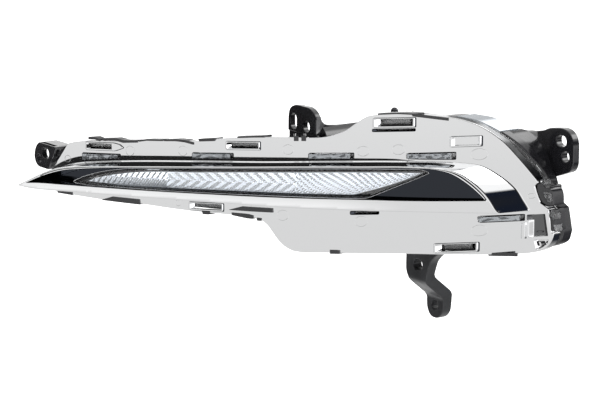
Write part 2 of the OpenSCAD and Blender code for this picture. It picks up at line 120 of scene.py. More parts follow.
# ---------------------------------------------------------------- outlines
def path(pts, step=1.4, closed=True):
    """Outline through points. A last value of None is a smooth curve point, a number is
    a corner rounded by that much. Points may have two or four coordinates."""
    dim = len(pts[0]) - 1
    P = np.array([q[:dim] for q in pts], float)
    kind = [q[dim] for q in pts]
    n = len(P)
    fine, tag = [], []
    for i in range(n if closed else n - 1):
        a, b = P[i], P[(i + 1) % n]
        L = np.linalg.norm((b - a)[:2])
        ma = mb = b - a
        if kind[i] is None:
            p0 = P[i - 1]
            d0, d1 = np.linalg.norm((a - p0)[:2]), L
            ma = ((b - a) / d1 * d0 + (a - p0) / d0 * d1) / (d0 + d1) * L
        if kind[(i + 1) % n] is None:
            p3 = P[(i + 2) % n]
            d1, d2 = L, np.linalg.norm((p3 - b)[:2])
            mb = ((b - a) / d1 * d2 + (p3 - b) / d2 * d1) / (d1 + d2) * L
        k = max(2, int(L / 0.35))
        u = np.linspace(0, 1, k, endpoint=False)[:, None]
        h = (2*u**3 - 3*u**2 + 1)*a + (u**3 - 2*u**2 + u)*ma + (-2*u**3 + 3*u**2)*b + (u**3 - u**2)*mb
        fine.append(h)
        tag += [kind[i] if (j == 0 and kind[i] is not None) else None for j in range(k)]
    if not closed:
        fine.append(P[-1:])
        tag.append(0.0)
    F = np.vstack(fine)
    N = len(F)
    seg = np.linalg.norm((np.roll(F, -1, 0) - F)[:, :2], axis=1)
    out, skip = [], np.zeros(N, bool)
    new = {}
    corners = [i for i in range(N) if tag[i] is not None]
    run = np.concatenate([[0], np.cumsum(seg)])
    for i in range(N):
        r = tag[i]
        if r is None or r <= 0 or (not closed and i in (0, N - 1)):
            continue
        if closed and len(corners) > 1:
            c = corners.index(i)
            g1 = (run[i] - run[corners[c - 1]]) % run[-1]
            g2 = (run[corners[(c + 1) % len(corners)]] - run[i]) % run[-1]
            r = min(r, 0.44 * g1, 0.44 * g2)
        a, la = i, 0.0
        while la < r and tag[(a - 1) % N] is None and la < 30:
            a -= 1
            la += seg[a % N]
        b, lb = i, 0.0
        while lb < r and tag[(b + 1) % N] is None and lb < 30:
            lb += seg[b % N]
            b += 1
        A0, B0, C0 = F[a % N], F[i], F[b % N]
        u = np.linspace(0, 1, 6)[:, None]
        new[i] = (1-u)**2*A0 + 2*u*(1-u)*B0 + u*u*C0
        for j in range(a, b + 1):
            skip[j % N] = True
    for i in range(N):
        if i in new:
            out.append(new[i])
        elif not skip[i]:
            out.append(F[i:i+1])
    Q = np.vstack(out)
    # thin the points where the line is nearly straight
    keep, acc, last, turn = [0], 0.0, Q[0], 0.0
    for i in range(1, len(Q)):
        d = np.linalg.norm((Q[i] - Q[keep[-1]])[:2])
        v1 = Q[i] - Q[i - 1]
        v2 = Q[(i + 1) % len(Q)] - Q[i]
        c = abs(math.atan2(v1[0]*v2[1] - v1[1]*v2[0], v1[0]*v2[0] + v1[1]*v2[1]))
        turn += c
        if d > step or turn > 0.14 or c > 0.14:
            if d > 0.06:
                keep.append(i)
                turn = 0.0
    if closed and np.linalg.norm((Q[keep[-1]] - Q[0])[:2]) < 0.06:
        keep.pop()
    Q = Q[keep]
    if closed:
        x, y = Q[:, 0], Q[:, 1]
        if np.sum(x*np.roll(y, -1) - y*np.roll(x, -1)) < 0:
            Q = Q[::-1].copy()
    return Q


def flange_path(pts, step=1.4):
    q = path(pts, step)
    if q.shape[1] == 4:
        return np.column_stack([pr(q[:, :2]), pr(q[:, 2:])])
    return pr(q)


def lateral(loop):
    e1 = unit(loop - np.roll(loop, 1, 0))
    e2 = unit(np.roll(loop, -1, 0) - loop)
    n1 = np.column_stack([e1[:, 1], -e1[:, 0]])
    n2 = np.column_stack([e2[:, 1], -e2[:, 0]])
    m = n1 + n2
    mm = np.maximum((m * m).sum(1, keepdims=True), 0.9)
    return unit(m), 2 * m / mm


def room(loop, sg):
    """How far each point can move sideways before it meets another part of the outline."""
    n = lateral(loop)[0] * sg
    best = np.full(len(loop), 1e9)
    for i in range(0, len(loop), 200):
        d = loop[None, :, :] - loop[i:i+200, None, :]
        dn = (d * n[i:i+200, None, :]).sum(2)
        dd = (d * d).sum(2)
        r = np.where(dn > 1e-6, dd / np.maximum(2 * dn, 1e-9), 1e9)
        best[i:i+200] = r.min(1)
    return np.minimum(best, np.minimum(np.roll(best, 1), np.roll(best, -1)))


def off(loop, d):
    if d == 0:
        return loop.copy()
    lat, mit = lateral(loop)
    lim = room(loop, 1 if d > 0 else -1) * 0.85
    w = np.minimum(abs(d), lim)[:, None]
    full = (lim > abs(d) * 1.6)[:, None]
    return loop + np.where(full, mit, lat) * w * (1 if d > 0 else -1)


def circle(c, r, n=28):
    a = np.linspace(0, 2*math.pi, n, endpoint=False)
    return np.column_stack([c[0] + r*np.cos(a), c[1] + r*np.sin(a)])


def oblong(c, hx, hz, r, n=7):
    """Round-cornered box outline, half sizes hx and hz, corner radius r."""
    out = []
    for qx, qz, a0 in ((1, 1, 0), (-1, 1, 90), (-1, -1, 180), (1, -1, 270)):
        a = np.radians(np.linspace(a0, a0 + 90, n))
        out.append(np.column_stack([c[0] + qx*(hx - r) + r*np.cos(a), c[1] + qz*(hz - r) + r*np.sin(a)]))
    q = np.vstack(out)
    keep = [i for i in range(len(q)) if np.linalg.norm(q[i] - q[i-1]) > 1e-4]
    return q[keep]


def box_loop(x0, x1, z0, z1, r=0.6, slant=0.0):
    """Box on the flange, given by x and z; slant drops its right end."""
    return flange_path([(x0, z0, r), (x1, z0 - slant, r), (x1, z1 - slant, r), (x0, z1, r)], 2.0)


def inside(poly, pts):
    x, y = pts[:, 0], pts[:, 1]
    res = np.zeros(len(pts), bool)
    a, b = poly, np.roll(poly, -1, 0)
    for (x1, y1), (x2, y2) in zip(a, b):
        if y1 == y2:
            continue
        c = (y1 > y) != (y2 > y)
        res ^= c & (x < (x2 - x1) * (y - y1) / (y2 - y1) + x1)
    return res


# ---------------------------------------------------------------- mesh pieces
class Piece:
    def __init__(self):
        self.p, self.n, self.f, self.m = np.zeros((0, 3)), np.zeros((0, 3)), [], []

    def add(self, sz, t, n):
        i = len(self.p)
        self.p = np.vstack([self.p, np.column_stack([sz[:, 0], t, sz[:, 1]])])
        self.n = np.vstack([self.n, unit(n)])
        return np.arange(i, i + len(sz))

    def strip(self, a, b, mat=0, closed=True):
        k = len(a)
        for i in range(k if closed else k - 1):
            j = (i + 1) % k
            self.f.append((int(a[i]), int(a[j]), int(b[j]), int(b[i])))
            self.m.append(mat)

    def ring(self, loop, o, surf, dt=0.0, kl=0.0, kn=1.0):
        lat, mit = lateral(loop)
        q = off(loop, o)
        n = surf.n(q[:, 0], q[:, 1]) * kn
        n = n + np.column_stack([lat[:, 0], 0 * lat[:, 0], lat[:, 1]]) * kl
        return self.add(q, surf.t(q[:, 0], q[:, 1]) + dt, n)

    def arc_front(self, loop, surf, r, sg=1, n=3):
        """Rounded front edge of a wall: from the face to the wall. sg 1 outer, -1 hole."""
        return [self.ring(loop, sg*(-r + r*math.sin(a)), surf, r - r*math.cos(a), sg*math.sin(a), math.cos(a))
                for a in np.linspace(0, math.pi/2, n + 1)]

    def arc_back(self, loop, surf, r, sg=1, n=2):
        return [self.ring(loop, sg*(-r + r*math.cos(a)), surf, -r + r*math.sin(a), sg*math.cos(a), -math.sin(a))
                for a in np.linspace(0, math.pi/2, n + 1)]

    def arc_root(self, loop, surf, r, sg=1, n=3):
        """Concave fillet from a face up to a wall that stands on it: from the wall to the face."""
        return [self.ring(loop, sg*(r - r*math.cos(a)), surf, -r + r*math.sin(a), sg*math.cos(a), math.sin(a))
                for a in np.linspace(0, math.pi/2, n + 1)]

    def strips(self, rings, mat=0):
        for a, b in zip(rings[:-1], rings[1:]):
            self.strip(a, b, mat)

    def fill(self, loops, surf, step=3.0, mat=0, kn=1.0, dt=0.0):
        idx = np.concatenate(loops)
        sz = self.p[idx][:, [0, 2]]
        edges, k = [], 0
        polys = []
        for l in loops:
            m = len(l)
            edges += [(k + i, k + (i + 1) % m) for i in range(m)]
            polys.append(sz[k:k + m])
            k += m
        lo, hi = polys[0].min(0), polys[0].max(0)
        gx = np.arange(lo[0] + step*0.4, hi[0], step)
        gz = np.arange(lo[1] + step*0.4, hi[1], step*0.866)
        g = np.array([(x + (step/2 if j % 2 else 0), z) for j, z in enumerate(gz) for x in gx]).reshape(-1, 2)
        if len(g):
            ok = inside(polys[0], g)
            for q in polys[1:]:
                ok &= ~inside(q, g)
            g = g[ok]
        if len(g):
            far = np.ones(len(g), bool)
            for i in range(0, len(sz), 400):
                d = np.linalg.norm(g[:, None, :] - sz[None, i:i+400, :], axis=2).min(1)
                far &= d > step * 0.55
            g = g[far]
        allp = np.vstack([sz, g]) if len(g) else sz
        res = geometry.delaunay_2d_cdt([Vector(q) for q in allp], edges, [], 1, 1e-6)
        co, faces, orig = res[0], res[2], res[3]
        mid = np.array([np.mean([co[i][:] for i in f], axis=0) for f in faces])
        ok = inside(polys[0], mid)
        for q in polys[1:]:
            ok &= ~inside(q, mid)
        faces = [f for f, k in zip(faces, ok) if k]
        gi = self.add(g, surf.t(g[:, 0], g[:, 1]) + dt, surf.n(g[:, 0], g[:, 1]) * kn) if len(g) else []
        full = np.concatenate([idx, gi]).astype(int) if len(g) else idx
        remap = []
        for i, q in enumerate(co):
            if orig[i]:
                remap.append(int(full[orig[i][0]]))
            else:
                a = np.array([[q[0], q[1]]])
                remap.append(int(self.add(a, surf.t(a[:, 0], a[:, 1]) + dt, surf.n(a[:, 0], a[:, 1]) * kn)[0]))
        for f in faces:
            g3 = tuple(remap[i] for i in f)
            if len(set(g3)) == len(g3):
                self.f.append(g3)
                self.m.append(mat)

    def slab(self, outer, holes, sf, sb, rf=0.5, rb=0.4, step=4.0, mat=0, nf=3, nb=2):
        """Plate between a front and a back surface with rounded edges and holes."""
        ff, bb = [], []
        for k, loop in enumerate([outer] + list(holes)):
            sg = 1 if k == 0 else -1
            rings = self.arc_front(loop, sf, rf, sg, nf) + self.arc_back(loop, sb, rb, sg, nb)
            self.strips(rings, mat)
            ff.append(rings[0])
            bb.append(rings[-1])
        self.fill(ff, sf, step, mat)
        self.fill(bb, sb, step, mat, -1.0)

    def make(self, name, mats, smooth=True, custom=True):
        s, t, z = self.p[:, 0], self.p[:, 1], self.p[:, 2]
        co = np.column_stack([s*CA + t*SA, -s*SA + t*CA, z]) * 0.001
        s, t, z = self.n[:, 0], self.n[:, 1], self.n[:, 2]
        no = np.column_stack([s*CA + t*SA, -s*SA + t*CA, z])
        return build(name, co, self.f, self.m, mats, no if custom else None)


def build(name, co, faces, mi, mats, normals=None, smooth=True):
    me = bpy.data.meshes.new(name)
    # points that coincide become one
    key, first = {}, []
    idx = np.zeros(len(co), int)
    for i, c in enumerate(np.round(co * 1e6).astype(int)):
        k = (c[0], c[1], c[2])
        if k not in key:
            key[k] = len(first)
            first.append(i)
        idx[i] = key[k]
    if normals is not None:
        nn = np.zeros((len(first), 3))
        np.add.at(nn, idx, unit(normals))
        normals = nn
    co = co[first]
    f2, m2, seen = [], [], set()
    for f, m in zip(faces, mi):
        g = [int(idx[i]) for i in f]
        g = [v for i, v in enumerate(g) if v != g[i - 1]]
        if len(g) == 4 and (g[0] == g[2] or g[1] == g[3]):
            continue
        if len(g) > 2 and frozenset(g) not in seen:
            seen.add(frozenset(g))
            f2.append(tuple(g))
            m2.append(m)
    faces, mi = f2, m2
    if normals is not None:
        # turn every face to the side its own normals point to
        q = np.array([f if len(f) == 4 else (*f, f[0]) for f in faces])
        g = np.cross(co[q[:, 2]] - co[q[:, 0]], co[q[:, 3]] - co[q[:, 1]])
        same = (g * normals[q].sum(1)).sum(1) >= 0
        faces = [f if k else tuple(reversed(f)) for f, k in zip(faces, same)]
    me.from_pydata([tuple(c) for c in co], [], faces)
    for i, m in enumerate(mi):
        me.polygons[i].material_index = m
    for m in mats:
        me.materials.append(m)
    me.polygons.foreach_set("use_smooth", [smooth] * len(me.polygons))
    me.update()
    if normals is not None:
        me.normals_split_custom_set_from_vertices([tuple(n) for n in unit(normals)])
    ob = bpy.data.objects.new(name, me)
    bpy.context.scene.collection.objects.link(ob)
    return ob


# ---------------------------------------------------------------- materials
def material(name, color, rough=0.4, metal=0.0, coat=0.0, spec=0.5, trans=0.0, ior=1.45,
             emit=None, bump=None, mottle=None, rough_var=None, alpha=1.0):
    """Procedural material: colour with a soft mottle, roughness that varies, fine bump."""
    m = bpy.data.materials.new(name)
    m.use_nodes = True
    nt = m.node_tree
    b = nt.nodes["Principled BSDF"]
    b.inputs["Base Color"].default_value = (*color, 1)
    b.inputs["Roughness"].default_value = rough
    b.inputs["Metallic"].default_value = metal
    b.inputs["Coat Weight"].default_value = coat
    b.inputs["Coat Roughness"].default_value = 0.06
    b.inputs["Specular IOR Level"].default_value = spec
    b.inputs["Transmission Weight"].default_value = trans
    b.inputs["IOR"].default_value = ior
    b.inputs["Alpha"].default_value = alpha
    if emit:
        b.inputs["Emission Color"].default_value = (*emit[0], 1)
        b.inputs["Emission Strength"].default_value = emit[1]
    tc = nt.nodes.new("ShaderNodeTexCoord")
    if mottle:
        scale, amount = mottle
        nz = nt.nodes.new("ShaderNodeTexNoise")
        nz.inputs["Scale"].default_value = scale
        nz.inputs["Detail"].default_value = 3
        nt.links.new(tc.outputs["Object"], nz.inputs["Vector"])
        cr = nt.nodes.new("ShaderNodeValToRGB")
        cr.color_ramp.elements[0].position = 0.3
        cr.color_ramp.elements[1].position = 0.7
        cr.color_ramp.elements[0].color = (*[max(0, c*(1 - amount)) for c in color], 1)
        cr.color_ramp.elements[1].color = (*[min(1, c*(1 + amount)) for c in color], 1)
        nt.links.new(nz.outputs["Fac"], cr.inputs["Fac"])
        nt.links.new(cr.outputs["Color"], b.inputs["Base Color"])
    if rough_var:
        scale, lo, hi = rough_var
        nz = nt.nodes.new("ShaderNodeTexNoise")
        nz.inputs["Scale"].default_value = scale
        nz.inputs["Detail"].default_value = 4
        nt.links.new(tc.outputs["Object"], nz.inputs["Vector"])
        mr = nt.nodes.new("ShaderNodeMapRange")
        mr.inputs["From Min"].default_value = 0.3
        mr.inputs["From Max"].default_value = 0.7
        mr.inputs["To Min"].default_value = lo
        mr.inputs["To Max"].default_value = hi
        nt.links.new(nz.outputs["Fac"], mr.inputs["Value"])
        nt.links.new(mr.outputs["Result"], b.inputs["Roughness"])
    if bump:
        scale, strength, dist = bump
        nz = nt.nodes.new("ShaderNodeTexNoise")
        nz.inputs["Scale"].default_value = scale
        nz.inputs["Detail"].default_value = 5
        nt.links.new(tc.outputs["Object"], nz.inputs["Vector"])
        bp = nt.nodes.new("ShaderNodeBump")
        bp.inputs["Strength"].default_value = strength
        bp.inputs["Distance"].default_value = dist
        nt.links.new(nz.outputs["Fac"], bp.inputs["Height"])
        nt.links.new(bp.outputs["Normal"], b.inputs["Normal"])
    return m


CHROME = material("chrome_plate", (0.94, 0.945, 0.95), 0.03, 1.0, rough_var=(60, 0.015, 0.06))
# painted shade: near-black chrome for the hood's recess, the slot walls and the fillet lines round the pocket frames
PAINTED_SHADE_DARK = material("painted_shade_chrome", (0.041, 0.045, 0.054), 0.05, 1.0, rough_var=(40, 0.03, 0.08))
SHADE = material("shaded_chrome", (0.16, 0.162, 0.165), 0.12, 1.0, rough_var=(90, 0.08, 0.18))
TAB = material("tab_plastic", (0.46, 0.485, 0.51), 0.05, 0.65, coat=0.8, rough_var=(90, 0.03, 0.08))
CLEAR = material("clear_lens", (0.985, 0.99, 1.0), 0.02, 0.0, trans=1.0, ior=1.49, rough_var=(50, 0.0, 0.03))
# painted glow: the optic emits a faint light of its own although the lamp is unlit
OPTIC_PAINTED_GLOW = material("optic", (0.92, 0.955, 1.0), 0.1, 0.9, coat=0.3, emit=((0.88, 0.94, 1.0), 0.16), rough_var=(120, 0.08, 0.16))
BLACK = material("black_plastic", (0.012, 0.012, 0.014), 0.2, 0.0, coat=1.0, rough_var=(90, 0.14, 0.3),
                 bump=(900, 0.05, 0.0002), mottle=(30, 0.25))
GRAIN = material("grained_plastic", (0.03, 0.031, 0.033), 0.36, 0.0, coat=0.1, rough_var=(150, 0.3, 0.45), bump=(1600, 0.12, 0.0002), mottle=(60, 0.2))
MATT = material("cover_plastic", (0.02, 0.02, 0.022), 0.45, 0.0, rough_var=(120, 0.38, 0.55), bump=(1400, 0.15, 0.0002), mottle=(40, 0.2))

ROOT = "root"

# ---------------------------------------------------------------- chrome frame
flange = flange_path([
    (-193, -15.2, 0.8), (-188, -13.6, 0.6), (-180, -12.4, 0.6), (-176, -11.6, 0.6), (-149, -11.3, 0.5), (-135, -11.2, 0.4),
    (-134, -10.1, 0.4), (-101, -9.4, 0.6), (-88, -9.6, 0.6), (-70.6, -7.4, 0.8), (-55.5, -6.1, 0.8), (-30, -5.6, None),
    (-12, -5.7, None), (5, -6.1, None), (14, -5.6, None), (22, -3.8, None), (31, -0.4, None), (39, 5.2, None),
    (47.5, 10.6, None), (57, 12.4, None), (72, 12.8, None), (90, 11.9, None), (107, 10.2, None), (127, 6.2, None),
    (137, 2.4, None), (149, -4.6, None), (159, -12.5, None), (169, -23.2, None), (178.3, -34.1, None), (186, -43.6, 0.8),
    (188, -47.2, 0.6), (185, -50.0, 0.5), (187.6, -56.4, 0.6), (190.2, -64, 0.7), (195.5, -68, 0.8), (197, -70, 0.8),
    (200, -89.6, 0.3), (202, -90.2, 0.4), (200.6, -95.6, None), (197, -100.8, None), (193, -103.2, None), (187, -104.8, None),
    (171.6, -105.7, None), (149, -105.2, None), (116, -103.9, None), (81, -102.2, None), (31, -100.8, None), (10, -100.2, None),
    (-5, -99.8, None), (-11, -98.7, None), (-16.7, -95.7, None), (-22.2, -90.6, None), (-27.2, -83.6, None), (-31.8, -77.2, None),
    (-37, -73.2, None), (-46, -71.2, None), (-61, -69.5, None), (-84, -67.8, None), (-108, -65.4, None), (-134, -62.3, None),
    (-168, -59.8, None), (-190, -57.3, 0.6), (-203, -55.4, 0.8), (-206.8, -47, 0.6), (-207.4, -38, 0.8), (-205.2, -35.2, 0.4),
    (-202.4, -31.4, 0.5), (-202.2, -30.2, 0.3), (-199.6, -26.2, 0.6)])
# hood: where it leaves the flange, and its lip
hood = flange_path([
    (-203.6, -43.6, -205.9, -46.3, 0.4), (-202.6, -38.8, -195, -40.8, None), (-196, -34.4, -185.2, -35.6, None), (-188, -31.8, -178.6, -32.9, None),
    (-180, -30.3, -172.4, -30.9, None), (-166, -29, -160, -28.9, None), (-140, -27.4, -140.6, -28.1, None), (-88, -26.1, -88.4, -26.6, None),
    (-33, -25.9, -32.6, -26, None), (23, -25.5, 22.8, -25.8, None), (70, -25.9, 70.4, -26.3, None), (107, -27.3, 108, -27.3, None),
    (124, -28.8, 129, -29, None), (140, -31.6, 146.0, -32.4, None), (156.5, -41.0, 158.8, -39.8, None), (169, -51.8, 171.2, -51.6, None),
    (177.5, -64.6, 180, -64.8, None), (181.0, -70.2, 183.2, -68.4, 0.8), (118, -66, 118.8, -64.6, None), (58, -62.6, 58.7, -61.6, None),
    (1, -59.6, 1.4, -58.4, None), (-57, -55.6, -56.7, -54.5, None), (-126, -52.0, -126, -51.2, None), (-160, -50.4, -160, -49.6, None),
    (-190, -48.6, -194, -48.2, None)], 1.6)
hood_root, hood_lip = hood[:, :2], hood[:, 2:]
mouth = flange_path([
    (-198.0, -43.9, -197, -44.0, 0.4), (-190, -40.0, -190, -40.6, None), (-177, -34.7, -177, -35.6, None), (-167, -32, -167, -33.2, None),
    (-152, -30.3, -152, -31.4, None), (-88, -27.6, -88, -29, None), (-33, -27.1, -33, -28.4, None), (23, -26.9, 23, -28, None),
    (70, -27.55, 70, -28.5, None), (112, -28.65, 112, -29.7, None), (130, -30.3, 129, -31.4, None), (143.5, -34.3, 142, -36.1, None),
    (154.5, -41.2, 152.5, -43.0, None), (166, -51.2, 164, -53.0, None), (172.0, -57.6, 171.0, -58.9, 0.8), (102, -54.9, 102, -57.6, None),
    (72, -53.4, 72, -56.6, None), (44, -52.4, 44, -55.6, None), (5, -50.9, 5, -54.3, None), (-51, -48.5, -51, -52.4, None), (-107, -46.3, -107, -50.7, None),
    (-145, -44.8, -145, -49.2, None), (-168, -44.0, -168, -48.2, None), (-190, -43.5, -190, -45.0, None)], 1.6)
mouth_lip, mouth_in = mouth[:, :2], mouth[:, 2:]
lens_face = flange_path([
    (-179, -44.9, 1.2), (-172.5, -41.66, None), (-157.6, -36.6, None), (-146, -34.3, None), (-138.9, -33.3, None), (-110, -31.9, None), (-75, -31.2, None),
    (5, -30.5, None), (70, -31, None), (104.9, -32.08, 1.5), (111.3, -34.3, 1.2), (100.9, -38.5, None), (84.9, -44.4, None), (61, -53.5, 2.0),
    (44, -53.4, None), (5, -52.1, None), (-51, -50.2, None), (-107.5, -48.5, None), (-145.6, -47.0, None), (-168, -46.2, None)])

frame_m = Piece()
front = Radial(0)
behind = Radial(2.5)
lipf = Radial(0, 34.0)
floor_s = Radial(-8.0)
E = 0.45
f0, back = [], []
# outer edge of the flange
r = frame_m.arc_front(flange, front, E)
q = frame_m.arc_back(flange, behind, 0.35)
frame_m.strips(r)
wall = len(frame_m.f)
frame_m.strip(r[-1], q[0], 0)
# painted shade: along the upper right the edge's side takes the shaded chrome, a grey band beside the bright rounding
edge_s = float(pr([[112, 0]])[0][0])
for k in range(wall, len(frame_m.f)):
    c = frame_m.p[list(frame_m.f[k])].mean(0)
    if c[0] > edge_s and c[2] > -46:
        frame_m.m[k] = 2
frame_m.strips(q)
f0.append(r[0])
back.append(q[-1])
# hood from its root to its lip
H = 34.0
lat_r, mit_r = lateral(hood_root)
lat_l, mit_l = lateral(hood_lip)
rings = []
topw = np.clip((hood_root[:, 1] + 46) / 12, 0, 1) * np.clip((120 - (hood_root[:, 0] + 60)) / 30, 0, 1)
low = path([(-210, -47.2, None), (-194, -48.2, None), (-160, -49.6, None), (-126, -51.2, None), (-56.7, -54.5, None), (1.4, -58.4, None),
            (58.7, -61.6, None), (118.8, -64.6, None), (183.2, -68.4, None), (200, -69.2, None)], 2.0, closed=False)
low_s = pr(low)[:, 0]


class Lip(Radial):
    """Front of the lip. Its lower strip leans back a little toward the top."""

    def bump(self, s, z, slope=False):
        u = z - np.interp(s, low_s, low[:, 1])
        u = np.clip(u, 0, 9.0)
        k = np.clip((72.0 - s) / 36.0, 0.06, 1.0)
        if slope:
            return k * np.where(u < 9.0, 0.075 * (1 - u / 9.0) + 0.018, 0) * (u > 0)
        return k * (0.075 * (u - u * u / 18.0) + 0.018 * u)

    def t(self, s, z):
        return Radial.t(self, s, z) + self.bump(s, z)

    def n(self, s, z):
        g = self.bump(s, z, True)
        u = z - np.interp(s, low_s, low[:, 1])
        g = g + 0.5 * np.clip((u - 10.0) / 2.0, 0, 1)
        n = Radial.n(self, s, z)
        return unit(n + np.column_stack([0*s, 0*s, g]))


lipf = Lip(0, 34.0)
ro, li = room(hood_root, 1) * 0.85, room(hood_lip, -1) * 0.85


def hood_ring(h, o, kl, kn):
    f = min(1.0, max(0.0, h / H))
    w = (f - 0.45 * f * (1 - f) * topw)[:, None]
    base = hood_root * (1 - w) + hood_lip * w
    lat = unit(lat_r * (1 - f) + lat_l * f)
    q = base + lat * (np.minimum(o, ro) if o > 0 else -np.minimum(-o, li))[:, None]
    surf = Radial(0)
    n = surf.n(q[:, 0], q[:, 1]) * kn + np.column_stack([lat[:, 0], 0*lat[:, 0], lat[:, 1]]) * kl
    # slope of the wall: it leans by the difference of the two outlines over its length
    lean = ((hood_root - hood_lip) * lat).sum(1) / H * (1 - 0.45 * topw * (1 - 2*f))
    n[:, 1] -= lean * kl
    return frame_m.add(q, surf.t(q[:, 0], q[:, 1]) - h + lipf.bump(q[:, 0], q[:, 1]) * f, n)


RR = 0.7
for a in np.linspace(0, math.pi/2, 5):          # concave root
    rings.append(hood_ring(RR - RR*math.cos(a), RR - RR*math.sin(a), math.sin(a), math.cos(a)))
for h in (5.0, 10.0, 15.0, 20.0, 25.0, 29.5):
    rings.append(hood_ring(h, 0, 1, 0))
LR = 0.6
for a in np.linspace(0, math.pi/2, 5):          # rounded lip
    rings.append(hood_ring(H - LR + LR*math.sin(a), -LR + LR*math.cos(a), math.cos(a), math.sin(a)))
frame_m.strips(rings)
f0.append(rings[0])
lip_outer = rings[-1]
# mouth: rounded edge, inner wall, floor of the recess; the floor, its fillet and the wall's left end get painted shade
# in the dark chrome
r = frame_m.arc_front(mouth_lip, lipf, 0.14, -1, 4)
q = frame_m.arc_root(mouth_in, floor_s, 0.4, -1, 3)
wl = lateral(mouth_lip)[0]
lean = ((mouth_in - mouth_lip) * wl).sum(1) / 26.0
for k in (r[-1], q[0]):
    frame_m.n[k] = unit(np.column_stack([-wl[:, 0], lean, -wl[:, 1]]))
frame_m.strips(r)
frame_m.strip(r[-1], q[0], 0)
# painted shade: the inner wall's left end, past turn, takes the dark chrome
turn = float(pr([[-186, 0]])[0][0])
for k in range(len(q[0])):
    if frame_m.p[q[0][k]][0] < turn:
        frame_m.m[-len(q[0]) + k] = 1
frame_m.strips(q, 1)
frame_m.fill([lip_outer, r[0]], lipf, 1.8)
opening = off(lens_face, 0.45)
w = frame_m.arc_front(opening, floor_s, 0.3, -1, 3) + [frame_m.ring(opening, 0, behind, -0.3, -1, 0)]
w += [frame_m.ring(opening, 0.3, behind, 0, 0, -1)]
frame_m.strips(w, 0)
frame_m.fill([q[-1], w[0]], floor_s, 3.0, 1)
back.append(w[-1])

# clip pockets: a raised frame round an opening; a painted shade line in dark chrome runs in the fillet at the frame's
# foot
pockets = [(-178.5, -149.9, -19.4, -13.2, 0.0, False), (-64.8, -37.0, -16.0, -9.5, 0.0, False), (53.2, 87, 1.8, 9.4, 0.0, False),
           (115.4, 141, -15.1, -6.8, 0.0, True), (-94.7, -66.7, -66.0, -59.5, 0.9, False), (103.2, 139.6, -102.0, -94.5, 0.0, False)]
RISE = 0.7
SHIFT = RISE / CA * SA
for x0, x1, z0, z1, sl, blind in pockets:
    x0, x1 = x0 + SHIFT, x1 + SHIFT - 0.8
    tip = x0 < -170
    if tip:
        outer = flange_path([(x0, z0, 0.7), (-153.6, z0, 0.7), (-150.6, z0 + 1.0, 0.4), (-146.8, -16.8, 0.4), (-149.6, z1 - 1.2, 0.4), (-154.4, z1, 0.5), (x0, z1, 0.7)], 2.0)
    else:
        outer = flange_path([(x0, z0, 0.7), (x1, z0 - sl, 0.7), (x1, z1 - sl, 0.7), (x0, z1, 0.7)], 2.0)
    rx = 6.2 if tip else 0.5 / (CA - SA * x1 / 800)
    lx = 0.62 / (CA - SA * x0 / 800)
    inner = flange_path([(x0 + lx, z0 + 1.0, 0.3), (x1 - rx, z0 - sl + 1.0, 0.3), (x1 - rx, z1 - sl - 0.6, 0.3), (x0 + lx, z1 - 0.6, 0.3)], 2.0)
    top = Radial(-RISE)
    a = frame_m.arc_front(outer, top, 0.2)
    w = frame_m.arc_root(outer, front, 0.42)
    frame_m.strips(a)
    frame_m.strip(a[-1], w[0], 0)
    frame_m.strips(w, 1)
    f0.append(w[-1])
    if blind:
        deep = Radial(0.9)
        b = frame_m.arc_front(inner, top, 0.16, -1) + frame_m.arc_root(inner, deep, 0.3, -1)
        frame_m.strips(b)
        frame_m.fill([b[-1]], deep, 2.5)
    else:
        b = frame_m.arc_front(inner, top, 0.16, -1) + [frame_m.ring(inner, 0, behind, -0.15, -1, 0), frame_m.ring(inner, 0.15, behind, 0, 0, -1)]
        frame_m.strips(b)
        back.append(b[-1])
    frame_m.fill([a[0], b[0]], top, 2.5)

# slots that the lens's snap tabs come through; their walls are painted shade in the dark chrome
class Ribs(Radial):
    """Face of a snap tab: slanting ribs and a shallow dish."""

    def __init__(self, x):
        Radial.__init__(self, -1.2)
        self.c = float(pr([[x, 0]])[0][0])

    def t(self, s, z):
        u = s - self.c
        w = np.clip((8.3 - np.abs(u)) / 1.2, 0, 1)
        k = np.abs(((u * 0.30 + 0.24 * z + 0.3 * np.sin(u * 0.9)) % 2.0) - 1.0)
        m = np.abs(((0.5 * z - u * 0.16 + 0.4 * np.sin(u * 0.6)) % 2.0) - 1.0)
        return Radial.t(self, s, z) - w * (1.2 * k + 0.6 * m - 1.0)

    def n(self, s, z):
        e = 0.05
        gs = (self.t(s + e, z) - self.t(s - e, z)) / (2*e)
        gz = (self.t(s, z + e) - self.t(s, z - e)) / (2*e)
        return unit(np.column_stack([gs, -np.ones(len(s)), gz]))


tabs = [(-180, -150, -28.0, -22.4), (-90.4, -58.8, -24.2, -19.4), (3, 37.5, -23.6, -18.9), (82, 119.5, -25.2, -19.8), (141, 176.6, -77.8, -73.2)]
thin = [(36, 57.8, -68.7, -66.6), (53.4, 86.6, -1.2, 0.3)]
root_x = [-180, -166, -140, -88, -33, 23, 70, 107, 124]
root_z = [-30.0, -28.4, -26.8, -25.5, -25.3, -24.9, -25.3, -26.7, -28.2]


def tab_loop(x0, x1, z0, z1, g, r=0.4):
    """Outline of a snap tab; its lower edge keeps clear of the hood."""
    if z0 > -40:
        za, zb = [max(z0, float(np.interp(x, root_x, root_z)) + 1.9) for x in (x0, x1)]
    else:
        za = zb = z0
    return flange_path([(x0 - g, za - g, r), (x1 + g, zb - g, r), (x1 + g, z1 + g, r), (x0 - g, z1 + g, r)], 2.0)


for x0, x1, z0, z1 in tabs + thin:
    loop = tab_loop(x0, x1, z0, z1, 0.3)
    rr = frame_m.arc_front(loop, front, 0.35, -1, 2) + [frame_m.ring(loop, 0, behind, -0.2, -1, 0), frame_m.ring(loop, 0.2, behind, 0, 0, -1)]
    frame_m.strips(rr, 1)
    f0.append(rr[0])
    back.append(rr[-1])

